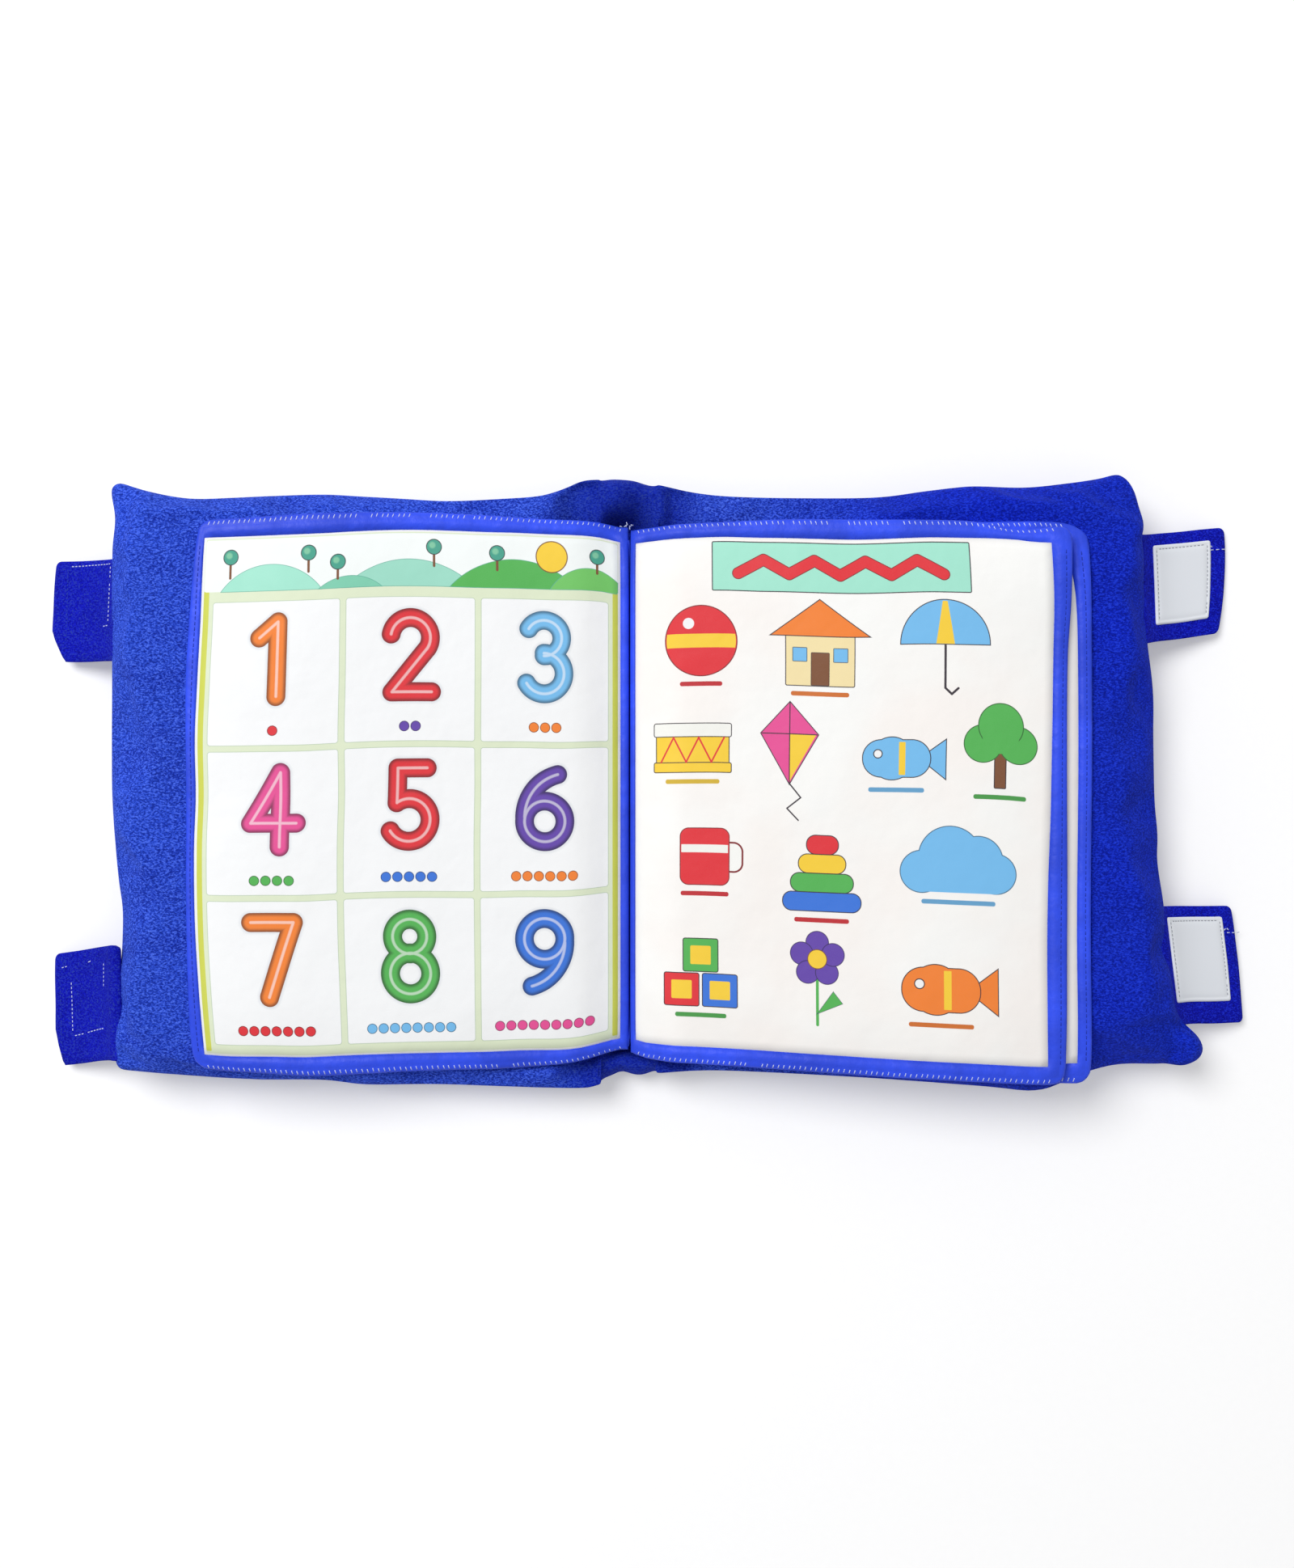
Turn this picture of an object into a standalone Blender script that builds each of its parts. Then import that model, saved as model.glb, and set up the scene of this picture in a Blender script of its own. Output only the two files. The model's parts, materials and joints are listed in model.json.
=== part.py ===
"""A soft cushion book, lying open on its back.

Two stuffed plush covers swing on a plush spine. Three padded leaves are sewn to a
binding in the spine, and four straps with hook and loop patches hold the book shut.
X runs from the left cover to the right one, Y to the head of the leaves, and Z up.
The gutter between the leaves is at X = 0 until the whole book is centred at the end.
"""

import math

import bmesh
import bpy
from mathutils import Matrix, Vector

# Sizes in metres and angles in radians.

# Room between pieces that are sewn together or that rest on each other.
SEAM_GAP = 0.0003
REST_GAP = 0.0005

# The fold between the spine and each cover.
FOLD_REACH = 0.014
FOLD_HEIGHT = 0.022
PAGE_TILT = math.radians(5)

# Leaves: a satin border round a printed panel on each side of the wadding.
LEAF_THICKNESS = 0.003
LEAF_LENGTH = 0.205
LEAF_WIDTH = 0.256
LEAF_BOW = 0.0035
LEAF_CENTRE_Y = -0.004
LEAF_CORNER = 0.005
LEAF_ROOT = 0.002
LEAF_ROOM = 0.0008
UNDER_LEAF_OVERHANG = 0.010
UNDER_LEAF_DROP = 0.004
PANEL_THICKNESS = 0.0005
BORDER_FORE = 0.006
BORDER_GUTTER = 0.0035
BORDER_HEAD = 0.010
BORDER_FOOT = 0.0075
WINDOW_CORNER = 0.0015

# Covers: the corners of each outline, as (X out from the gutter, Y), and how far its
# fore-edge bows out and its head and foot edges draw in.
SPINE_HEAD = (FOLD_REACH, 0.145)
SPINE_FOOT = (FOLD_REACH, -0.143)
LEFT_FORE_HEAD = (0.244, 0.144)
LEFT_FORE_FOOT = (0.248, -0.138)
RIGHT_FORE_HEAD = (0.246, 0.146)
RIGHT_FORE_FOOT = (0.268, -0.132)
LEFT_FORE_BOW = 0.003
RIGHT_FORE_BOW = -0.004
LEFT_DRAW_IN = (0.0085, -0.0065)
RIGHT_DRAW_IN = (0.0065, -0.005)
FORE_SEAM_HEIGHT = 0.0265
PLUSH_WALL = 0.002
FILLING_ROOM = 0.0008
FLAT_CUT = 0.0005
CROWN_POWER = 8
CELLS_ACROSS = 6
CELLS_ALONG = 8

# Spine: a plush trough that stands on its flat base, and the binding in it.
SPINE_WALL = 0.0025
SPINE_TOP = 0.141
SPINE_BOTTOM = -0.138
SPINE_BASE_ANGLE = math.radians(22.5)
SPINE_END_LENGTH = 0.005
SPINE_END_SHARE = 0.75
SPINE_CELLS_ACROSS = 8
SPINE_CELLS_ALONG = 8
BINDING_LENGTH = 0.246
BINDING_FOOT_SHARE = 0.72

# Straps: each starts a little behind its fold line, in the fore-edge seam of its cover.
STRAP_THICKNESS = 0.003
STRAP_TIP_HEIGHT = 0.0035
STRAP_CORNER = 0.003
STRAP_ROOT = 0.0008
LEFT_STRAP_LENGTH = 0.044
RIGHT_STRAP_LENGTH = 0.052
LEFT_UPPER_Y = 0.084
LEFT_UPPER_WIDTH = 0.050
LEFT_UPPER_CLIP = 0.010
LEFT_LOWER_Y = -0.110
LEFT_LOWER_WIDTH = 0.056
RIGHT_UPPER_Y = 0.097
RIGHT_UPPER_WIDTH = 0.051
RIGHT_LOWER_Y = -0.089
RIGHT_LOWER_WIDTH = 0.056

# Patches: loop on the underside of the left straps, hook on top of the right ones.
PATCH_THICKNESS = 0.0012
PATCH_CORNER = 0.0015
LOOP_START = 0.003
LOOP_LENGTH = 0.025
LOOP_WIDTH = 0.034
HOOK_START = 0.0115
HOOK_LENGTH = 0.030
HOOK_WIDTH = 0.038

# Steps round a quarter turn of a corner, and along a bowed edge.
CORNER_STEPS = 4
BOW_STEPS = 6

# Worked out from the sizes above.
LEAF_SIDE = LEAF_THICKNESS + LEAF_ROOM
LEAF_STACK = LEAF_THICKNESS + SEAM_GAP
LEAF_RISE = (FOLD_REACH - LEAF_SIDE) * math.tan((math.radians(90) - PAGE_TILT) / 2)
LEAF_HEIGHT = FOLD_HEIGHT + LEAF_RISE
FACE_RISE = FOLD_REACH - LEAF_SIDE - LEAF_THICKNESS / 2 - REST_GAP


def cloth(name, colour, roughness):
    """A matt fabric finish."""
    material = bpy.data.materials.new(name)
    material.use_nodes = True
    shader = material.node_tree.nodes["Principled BSDF"]
    shader.inputs["Base Color"].default_value = (*colour, 1)
    shader.inputs["Roughness"].default_value = roughness
    shader.inputs["Metallic"].default_value = 0
    material.diffuse_color = (*colour, 1)
    return material


def place(name, data, parent, finish):
    """Adds an object that hangs on a parent empty, with its own finish."""
    piece = bpy.data.objects.new(name, data)
    data.materials.append(cloth(name, *finish))
    bpy.data.collections[COLLECTION].objects.link(piece)
    piece.parent = parent
    return piece


def hinge_empty(name, parent, location, rotation=(0, 0, 0)):
    """An empty on a joint's axis, which carries what the joint moves."""
    empty = bpy.data.objects.new(name, None)
    empty.empty_display_size = FOLD_REACH
    bpy.data.collections[COLLECTION].objects.link(empty)
    empty.parent = parent
    empty.location = location
    empty.rotation_euler = rotation
    return empty


def rounded_outline(low, high, corner, clip=0):
    """Points round a rectangle with arcs at its corners; the outer low corner can be clipped."""
    centres = (
        (high[0] - corner, high[1] - corner),
        (low[0] + corner, high[1] - corner),
        (low[0] + corner, low[1] + corner),
        (high[0] - corner, low[1] + corner),
    )
    points = []
    for quarter, centre in enumerate(centres):
        if quarter == 3 and clip:
            points.append((high[0] - clip, low[1]))
            points.append((high[0], low[1] + clip))
            continue
        for step in range(CORNER_STEPS + 1):
            turn = math.pi / 2 * (quarter + step / CORNER_STEPS)
            across = centre[0] + corner * math.cos(turn)
            along = centre[1] + corner * math.sin(turn)
            points.append((across, along))
    return points


def bowed_outline(outline, low, high):
    """Splits the long head and foot edges of an outline and bows them outwards."""
    centre = ((low[0] + high[0]) / 2, (low[1] + high[1]) / 2)
    half = ((high[0] - low[0]) / 2, (high[1] - low[1]) / 2)
    points = []
    for start, end in zip(outline, outline[1:] + outline[:1]):
        steps = BOW_STEPS if abs(end[0] - start[0]) > half[0] else 1
        for step in range(steps):
            across = blend(start[0], end[0], step / steps)
            along = blend(start[1], end[1], step / steps)
            bow = LEAF_BOW * (1 - ((across - centre[0]) / half[0]) ** 2)
            along += bow * (along - centre[1]) / half[1]
            points.append((across, along))
    return points


def flat_piece(name, outlines, thickness, parent, finish):
    """A flat piece of cloth: closed outlines with an extrusion of half its thickness."""
    curve = bpy.data.curves.new(name, "CURVE")
    curve.dimensions = "2D"
    curve.fill_mode = "BOTH"
    curve.extrude = thickness / 2
    for outline in outlines:
        spline = curve.splines.new("POLY")
        spline.points.add(len(outline) - 1)
        for point, (across, along) in zip(spline.points, outline):
            point.co = (across, along, 0, 1)
        spline.use_cyclic_u = True
    return place(name, curve, parent, finish)


def blend(low, high, share):
    """The value that lies a share of the way from low to high."""
    return low + (high - low) * share


class Cover:
    """The shape of one cover: its outline at the seam, its crown and its flat back."""

    def __init__(self, side, fore_head, fore_foot, fore_bow, draw_in):
        self.side = side
        self.fore_head = fore_head
        self.fore_foot = fore_foot
        self.fore_bow = fore_bow
        self.draw_in = draw_in

    def outline(self, across, along, inset):
        """X and Y at shares from -1 to 1 of the way over the cover and up it."""
        half_across = (across + 1) / 2
        half_along = (along + 1) / 2
        spine_x = FOLD_REACH + SEAM_GAP + inset
        fore_x = blend(self.fore_foot[0], self.fore_head[0], half_along)
        fore_x += self.fore_bow * (1 - along**2) - inset
        middle = 1 - across**2
        head_y = blend(SPINE_HEAD[1], self.fore_head[1], half_across) - inset
        head_y -= self.draw_in[0] * middle
        foot_y = blend(SPINE_FOOT[1], self.fore_foot[1], half_across) + inset
        foot_y += self.draw_in[1] * middle
        return blend(spine_x, fore_x, half_across), blend(foot_y, head_y, half_along)

    def fore_edge(self, y):
        """X of the fore-edge seam at a height up the cover."""
        along = 2 * (y - self.fore_foot[1]) / (self.fore_head[1] - self.fore_foot[1]) - 1
        return self.outline(1, along, 0)[0]

    def layer(self, inset, upper, lift=SEAM_GAP / 2):
        """The surface that lies so far inside the plush; its rim is lifted off the seam."""

        def surface(step_across, step_along):
            across = math.sin(math.pi / 2 * step_across)
            along = math.sin(math.pi / 2 * step_along)
            x, y = self.outline(across, along, inset)
            seam = blend(FOLD_HEIGHT, FORE_SEAM_HEIGHT, (across + 1) / 2)
            crown = math.sqrt((1 - abs(across) ** CROWN_POWER) * (1 - abs(along) ** CROWN_POWER))
            if upper:
                face = FOLD_HEIGHT + FACE_RISE / math.cos(PAGE_TILT)
                face += (x - FOLD_REACH) * math.tan(PAGE_TILT) - inset
                start = seam + lift
                z = blend(start, face, crown)
            else:
                floor = inset if inset else -FLAT_CUT
                start = seam - lift
                z = max(blend(start, floor, crown), 0)
            return Vector((self.side * x, y, z))

        return surface


def cushion_cage(name, upper_surface, lower_surface):
    """A closed cage from two surfaces over one outline, creased where they meet at the seam."""
    cage = bmesh.new()
    crease = cage.edges.layers.float.new("crease_edge")
    bmesh.ops.create_grid(cage, x_segments=CELLS_ACROSS, y_segments=CELLS_ALONG, size=1)
    under = list(cage.verts)
    made = bmesh.ops.extrude_face_region(cage, geom=cage.faces[:])
    over = [item for item in made["geom"] if isinstance(item, bmesh.types.BMVert)]
    for edge in cage.edges:
        on_side = all(abs(v.co.x) == 1 for v in edge.verts)
        on_end = all(abs(v.co.y) == 1 for v in edge.verts)
        joins = edge.calc_length() == 0
        if on_side and on_end or (on_side or on_end) and not joins:
            edge[crease] = 1
    for vertices, surface in ((under, lower_surface), (over, upper_surface)):
        for vertex in vertices:
            vertex.co = surface(vertex.co.x, vertex.co.y)
    bmesh.ops.recalc_face_normals(cage, faces=cage.faces)
    if cage.calc_volume(signed=True) < 0:
        bmesh.ops.reverse_faces(cage, faces=cage.faces)
    mesh = bpy.data.meshes.new(name)
    cage.to_mesh(mesh)
    cage.free()
    return mesh


def soft_piece(name, upper_surface, lower_surface, parent, finish):
    """A soft form: the cage with Subdivision Surface, left where the book holds it."""
    mesh = cushion_cage(name, upper_surface, lower_surface)
    mesh.transform(Matrix.Translation(-parent.location))
    piece = place(name, mesh, parent, finish)
    mesh.shade_smooth()
    smooth = piece.modifiers.new("Soft form", "SUBSURF")
    smooth.levels = 1
    smooth.render_levels = smooth.levels
    return piece


PLUSH = ((0.014, 0.052, 0.61), 0.95)
STRAP_PLUSH = ((0.003, 0.008, 0.46), 0.95)
SATIN = ((0.032, 0.089, 0.87), 0.45)
PRINTED_COTTON = ((0.95, 0.95, 0.91), 0.8)
WADDING = ((0.9, 0.9, 0.88), 1.0)
BINDING_CLOTH = ((0.02, 0.06, 0.66), 0.7)
PATCH_TAPE = ((0.68, 0.73, 0.83), 0.75)
COLLECTION = "Cushion book"


def add_spine(book):
    """The plush trough between the covers and the binding that holds the leaves."""
    rise = FOLD_HEIGHT - SEAM_GAP
    reach = FOLD_REACH - SEAM_GAP
    centre_y = (SPINE_TOP + SPINE_BOTTOM) / 2
    half_length = (SPINE_TOP - SPINE_BOTTOM) / 2
    last_row_share = 1 - 2 / SPINE_CELLS_ALONG
    level = math.cos(SPINE_BASE_ANGLE)

    trough = bmesh.new()
    bmesh.ops.create_grid(
        trough, x_segments=SPINE_CELLS_ACROSS, y_segments=SPINE_CELLS_ALONG, size=1
    )
    for vertex in trough.verts:
        turn = math.pi / 2 * vertex.co.x
        z = rise * max(0, level - math.cos(turn)) / level
        at_end = abs(vertex.co.y) > last_row_share + SPINE_WALL
        if at_end:
            y = math.copysign(half_length, vertex.co.y)
            z = max(z, rise * SPINE_END_SHARE)
        else:
            y = vertex.co.y / last_row_share * (half_length - SPINE_END_LENGTH)
        vertex.co = (reach * math.sin(turn), centre_y + y, z)
    mesh = bpy.data.meshes.new("spine_gusset")
    trough.to_mesh(mesh)
    trough.free()
    gusset = place("spine_gusset", mesh, book, PLUSH)
    wall = gusset.modifiers.new("Plush wall", "SOLIDIFY")
    wall.thickness = SPINE_WALL
    wall.offset = 1

    top = LEAF_HEIGHT - LEAF_SIDE + LEAF_ROOT - SEAM_GAP
    foot = SPINE_WALL + SEAM_GAP
    half_top = LEAF_SIDE + LEAF_THICKNESS / 2
    half_foot = reach * math.sin(SPINE_BASE_ANGLE) * BINDING_FOOT_SHARE
    shoulder = half_top / 3
    outline = (
        (-half_foot, foot),
        (half_foot, foot),
        (half_top, top - shoulder),
        (half_top - shoulder, top),
        (shoulder - half_top, top),
        (-half_top, top - shoulder),
    )
    binding = flat_piece("page_binding", [outline], BINDING_LENGTH, book, BINDING_CLOTH)
    binding.location = (0, LEAF_CENTRE_Y, 0)
    binding.rotation_euler = (math.radians(90), 0, 0)


def add_cover(name, cover, book):
    """The two plush shells of a cover, one on each side of its seam, and the filling."""
    hinge = hinge_empty(name + "_fold", book, (cover.side * FOLD_REACH, 0, FOLD_HEIGHT))
    fill_inset = PLUSH_WALL + FILLING_ROOM
    outside_top = cover.layer(0, True)
    inside_top = cover.layer(PLUSH_WALL, True)
    inside_foot = cover.layer(PLUSH_WALL, False)
    outside_foot = cover.layer(0, False)
    fill_top = cover.layer(fill_inset, True, SEAM_GAP / 4)
    fill_foot = cover.layer(fill_inset, False, SEAM_GAP / 4)
    soft_piece(name + "_inner_panel", outside_top, inside_top, hinge, PLUSH)
    soft_piece(name + "_outer_panel", inside_foot, outside_foot, hinge, PLUSH)
    soft_piece(name + "_filling", fill_top, fill_foot, hinge, WADDING)
    return hinge


def add_leaf(name, side, pivot, length, centre_y, tilt, parent):
    """A padded leaf, flat in the frame of its fold, which lies in the gutter."""
    location = parent.rotation_euler.to_matrix().inverted() @ (pivot - parent.location)
    turn = hinge_empty(name + "_turn", parent, location, (0, -side * tilt, 0))

    foot = centre_y - LEAF_WIDTH / 2
    head = centre_y + LEAF_WIDTH / 2
    reaches = sorted((side * LEAF_ROOT, side * length))

    def box(low_x, high_x, low_y, high_y, corner):
        ends = sorted((side * low_x, side * high_x))
        outline = rounded_outline((ends[0], low_y), (ends[1], high_y), corner)
        return bowed_outline(outline, (reaches[0], foot), (reaches[1], head))

    window = (
        LEAF_ROOT + BORDER_GUTTER,
        length - BORDER_FORE,
        foot + BORDER_FOOT,
        head - BORDER_HEAD,
    )
    edge = box(LEAF_ROOT, length, foot, head, LEAF_CORNER)
    hole = box(*window, WINDOW_CORNER)
    flat_piece(name + "_border", [edge, hole], LEAF_THICKNESS, turn, SATIN)

    panel = box(
        window[0] + SEAM_GAP,
        window[1] - SEAM_GAP,
        window[2] + SEAM_GAP,
        window[3] - SEAM_GAP,
        WINDOW_CORNER,
    )
    wadding = LEAF_THICKNESS - 2 * (PANEL_THICKNESS + SEAM_GAP)
    flat_piece(name + "_wadding", [panel], wadding, turn, WADDING)
    offset = (LEAF_THICKNESS - PANEL_THICKNESS) / 2
    front = flat_piece(name + "_front_panel", [panel], PANEL_THICKNESS, turn, PRINTED_COTTON)
    front.location = (0, 0, offset)
    back = flat_piece(name + "_back_panel", [panel], PANEL_THICKNESS, turn, PRINTED_COTTON)
    back.location = (0, 0, -offset)
    return turn


def add_strap(name, cover, centre_y, width, length, clip, hinge):
    """A plush strap in the fore-edge seam of a cover, which droops to the floor."""
    low = Vector((cover.fore_edge(centre_y - width / 2), centre_y - width / 2))
    high = Vector((cover.fore_edge(centre_y + width / 2), centre_y + width / 2))
    edge = high - low
    slant = cover.side * math.atan2(-edge.x, edge.y)
    outward = STRAP_THICKNESS / 2 + SEAM_GAP
    middle = (low + high) / 2
    droop = math.asin((FORE_SEAM_HEIGHT - STRAP_TIP_HEIGHT) / length)
    world = Vector((cover.side * (middle.x + outward), middle.y, FORE_SEAM_HEIGHT))
    rotation = (
        Matrix.Rotation(slant, 3, "Z") @ Matrix.Rotation(cover.side * droop, 3, "Y")
    ).to_euler()
    fold = hinge_empty(name + "_fold", hinge, world - hinge.location, rotation)

    def mirrored(points):
        return [(cover.side * across, along) for across, along in points]

    body = rounded_outline((-STRAP_ROOT, -width / 2), (length, width / 2), STRAP_CORNER, clip)
    flat_piece(name, [mirrored(body)], STRAP_THICKNESS, fold, STRAP_PLUSH)

    is_hook = cover.side > 0
    start = HOOK_START if is_hook else LOOP_START
    patch_length = HOOK_LENGTH if is_hook else LOOP_LENGTH
    patch_width = HOOK_WIDTH if is_hook else LOOP_WIDTH
    patch = rounded_outline(
        (start, -patch_width / 2), (start + patch_length, patch_width / 2), PATCH_CORNER
    )
    patch_name = name.replace("strap", "hook_patch" if is_hook else "loop_patch")
    piece = flat_piece(patch_name, [mirrored(patch)], PATCH_THICKNESS, fold, PATCH_TAPE)
    offset = (STRAP_THICKNESS + PATCH_THICKNESS) / 2 + SEAM_GAP
    piece.location = (0, 0, cover.side * offset)


def centre_on_origin(book):
    """Moves the whole book so that its box stands over the origin."""
    bpy.context.view_layer.update()
    graph = bpy.context.evaluated_depsgraph_get()
    corners = []
    for piece in bpy.data.collections[COLLECTION].objects:
        if piece.type == "EMPTY":
            continue
        solid = piece.evaluated_get(graph)
        mesh = solid.to_mesh()
        corners += [solid.matrix_world @ vertex.co for vertex in mesh.vertices]
        solid.to_mesh_clear()
    for axis in (0, 1):
        values = [corner[axis] for corner in corners]
        book.location[axis] = -(min(values) + max(values)) / 2


def build():
    for old in list(bpy.data.objects):
        bpy.data.objects.remove(old)
    collection = bpy.data.collections.new(COLLECTION)
    bpy.context.scene.collection.children.link(collection)
    book = hinge_empty("book", None, (0, 0, 0))

    add_spine(book)
    left = Cover(-1, LEFT_FORE_HEAD, LEFT_FORE_FOOT, LEFT_FORE_BOW, LEFT_DRAW_IN)
    right = Cover(1, RIGHT_FORE_HEAD, RIGHT_FORE_FOOT, RIGHT_FORE_BOW, RIGHT_DRAW_IN)
    left_hinge = add_cover("left_cover", left, book)
    right_hinge = add_cover("right_cover", right, book)

    left_pivot = Vector((-LEAF_SIDE, 0, LEAF_HEIGHT))
    under_pivot = Vector((LEAF_SIDE, 0, LEAF_HEIGHT))
    top_pivot = Vector((0, 0, LEAF_HEIGHT + LEAF_STACK))
    under_length = LEAF_LENGTH + UNDER_LEAF_OVERHANG
    under_y = LEAF_CENTRE_Y - UNDER_LEAF_DROP
    add_leaf("left_leaf", -1, left_pivot, LEAF_LENGTH, LEAF_CENTRE_Y, PAGE_TILT, book)
    under = add_leaf("under_leaf", 1, under_pivot, under_length, under_y, PAGE_TILT, book)
    add_leaf("turning_leaf", 1, top_pivot, LEAF_LENGTH, LEAF_CENTRE_Y, 0, under)

    add_strap(
        "left_upper_strap", left, LEFT_UPPER_Y, LEFT_UPPER_WIDTH, LEFT_STRAP_LENGTH,
        LEFT_UPPER_CLIP, left_hinge,
    )
    add_strap(
        "left_lower_strap", left, LEFT_LOWER_Y, LEFT_LOWER_WIDTH, LEFT_STRAP_LENGTH,
        0, left_hinge,
    )
    add_strap(
        "right_upper_strap", right, RIGHT_UPPER_Y, RIGHT_UPPER_WIDTH, RIGHT_STRAP_LENGTH,
        0, right_hinge,
    )
    add_strap(
        "right_lower_strap", right, RIGHT_LOWER_Y, RIGHT_LOWER_WIDTH, RIGHT_STRAP_LENGTH,
        0, right_hinge,
    )
    centre_on_origin(book)


build()
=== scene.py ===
"""Looks of a soft cushion book: stuffed plush covers, padded cloth leaves and four straps."""

import json
import math

import bmesh
import bpy
from bpy.props import FloatProperty, FloatVectorProperty, PointerProperty
from mathutils import Matrix, Vector, noise


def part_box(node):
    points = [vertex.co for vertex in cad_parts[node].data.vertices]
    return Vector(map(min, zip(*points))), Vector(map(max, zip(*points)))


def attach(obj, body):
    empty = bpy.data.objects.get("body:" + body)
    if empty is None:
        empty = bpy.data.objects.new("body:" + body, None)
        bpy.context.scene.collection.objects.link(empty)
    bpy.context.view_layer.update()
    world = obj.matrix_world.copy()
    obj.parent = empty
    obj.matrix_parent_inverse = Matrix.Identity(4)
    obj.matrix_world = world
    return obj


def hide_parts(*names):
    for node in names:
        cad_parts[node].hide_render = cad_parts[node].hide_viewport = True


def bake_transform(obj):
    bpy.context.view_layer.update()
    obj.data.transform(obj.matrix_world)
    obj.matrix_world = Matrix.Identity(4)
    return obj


bl_info = {
    "name": "Cushion book",
    "version": (1, 0, 0),
    "blender": (4, 5, 0),
    "location": "3D View > Sidebar > Cushion book",
    "description": "Builds the cloth pieces of a soft cushion book round its fixed frame",
    "category": "Add Mesh",
}

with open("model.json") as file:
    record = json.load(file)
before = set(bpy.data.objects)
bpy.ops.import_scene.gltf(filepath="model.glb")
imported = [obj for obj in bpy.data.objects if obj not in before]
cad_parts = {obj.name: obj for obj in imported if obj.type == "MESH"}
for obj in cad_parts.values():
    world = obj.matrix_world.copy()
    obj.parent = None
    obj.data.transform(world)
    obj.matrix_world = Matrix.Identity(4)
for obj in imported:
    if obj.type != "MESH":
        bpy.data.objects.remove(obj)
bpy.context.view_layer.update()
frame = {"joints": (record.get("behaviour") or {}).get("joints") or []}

# Places and directions that come from the frame.
JOINTS = {joint["name"]: joint for joint in frame["joints"]}
GUTTER = JOINTS["turning_leaf_turn"]["pos_m"][0]
PAGE_TILT = math.radians(5)
FOLD_REACH = GUTTER - JOINTS["left_cover_fold"]["pos_m"][0]
FOLD_HEIGHT = JOINTS["left_cover_fold"]["pos_m"][2]
MM = 0.001
LEVEL = JOINTS["left_cover_fold"]["pos_m"][1] + 1.5 * MM

# Heights of the fore-edge seam, where the straps are sewn in, and of the straps' tips.
SEAM_LEVEL = 0.0265
TIP_LEVEL = 0.0035

# Edges of the leaves, as (reach along the leaf, Y).
LEFT_HEAD = ((0, 0.1239), (0.009, 0.1257), (0.037, 0.1267), (0.074, 0.1285), (0.112, 0.1289),
             (0.149, 0.1277), (0.19, 0.1254), (0.206, 0.1245))
LEFT_FOOT = ((0, -0.1303), (0.0225, -0.1353), (0.04, -0.137), (0.06, -0.1381), (0.087, -0.1381),
             (0.107, -0.1386), (0.126, -0.1394), (0.149, -0.1402), (0.168, -0.139),
             (0.19, -0.1376), (0.206, -0.136))
TOP_HEAD = ((0, 0.1222), (0.033, 0.1241), (0.0725, 0.1252), (0.1112, 0.1246), (0.15, 0.1238),
            (0.165, 0.1228), (0.18, 0.1192), (0.191, 0.119), (0.205, 0.1208))
TOP_FOOT = ((0, -0.1315), (0.009, -0.1338), (0.033, -0.1351), (0.0725, -0.1374),
            (0.1112, -0.1394), (0.15, -0.1413), (0.19, -0.143), (0.205, -0.1431))
UNDER_HEAD = ((0, 0.118), (0.06, 0.1205), (0.13, 0.1228), (0.17, 0.1238), (0.2, 0.1236),
              (0.2158, 0.1212))
UNDER_FOOT = ((0, -0.127), (0.02, -0.132), (0.07, -0.1355), (0.13, -0.1385), (0.18, -0.1412),
              (0.2, -0.1433), (0.2158, -0.1433))

# How far each fore-edge stands out or in at a share of the height.
LEFT_FORE = ((0, -0.0035), (0.075, -0.0019), (0.26, -0.0004), (0.475, -0.0004), (0.71, 0),
             (0.84, -0.0019), (0.92, -0.0035), (1, -0.0054))
TOP_FORE = ((0, 0), (0.3, 0.0003), (0.6, 0.0002), (0.76, 0.0008), (0.86, 0.0023), (1, 0.0024))
UNDER_FORE = ((0, 0.0006), (0.3, -0.0003), (0.6, 0.0004), (0.85, 0.0004), (1, -0.001))

# Widths of the satin borders in millimetres: at head and foot by the reach along the leaf,
# at the fore-edge by the share of the height.
LEFT_HEMS = (
    ((0, 7.6), (0.03, 7.5), (0.05, 7.7), (0.068, 8.5), (0.107, 8.8), (0.145, 9.9),
     (0.184, 9.2), (0.206, 8.8)),
    ((0, 5.8), (0.01, 6.2), (0.03, 7.3), (0.05, 8.6), (0.087, 8.7), (0.13, 9.6),
     (0.15, 9.4), (0.185, 7.7), (0.206, 7.2)),
    ((0, 5.8), (0.06, 6.2), (0.15, 5.4), (0.25, 4.3), (0.41, 3.9), (0.5, 4.7), (0.6, 4.5),
     (0.72, 5.7), (0.85, 5.4), (0.97, 4.2)),
)
TOP_HEMS = (
    ((0, 6.8), (0.009, 6.9), (0.028, 7.2), (0.045, 7.4), (0.066, 8.8), (0.104, 9.9), (0.142, 8.6),
     (0.163, 8.0), (0.18, 5.0), (0.19, 6.3), (0.2, 8.0)),
    ((0, 7.3), (0.02, 8.3), (0.1, 8.9), (0.2, 8.8)),
    ((0, 8.2), (0.12, 9.2), (0.35, 9.2), (0.5, 7.7), (0.75, 6.8), (0.87, 8.0), (0.97, 9.6)),
)
UNDER_HEMS = (
    ((0, 8.0), (0.2, 9.0)),
    ((0, 8.0), (0.18, 9.2), (0.21, 10.0)),
    ((0, 6.6), (0.78, 6.6), (0.87, 7.4), (0.93, 9.4), (1, 11.5)),
)

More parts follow.
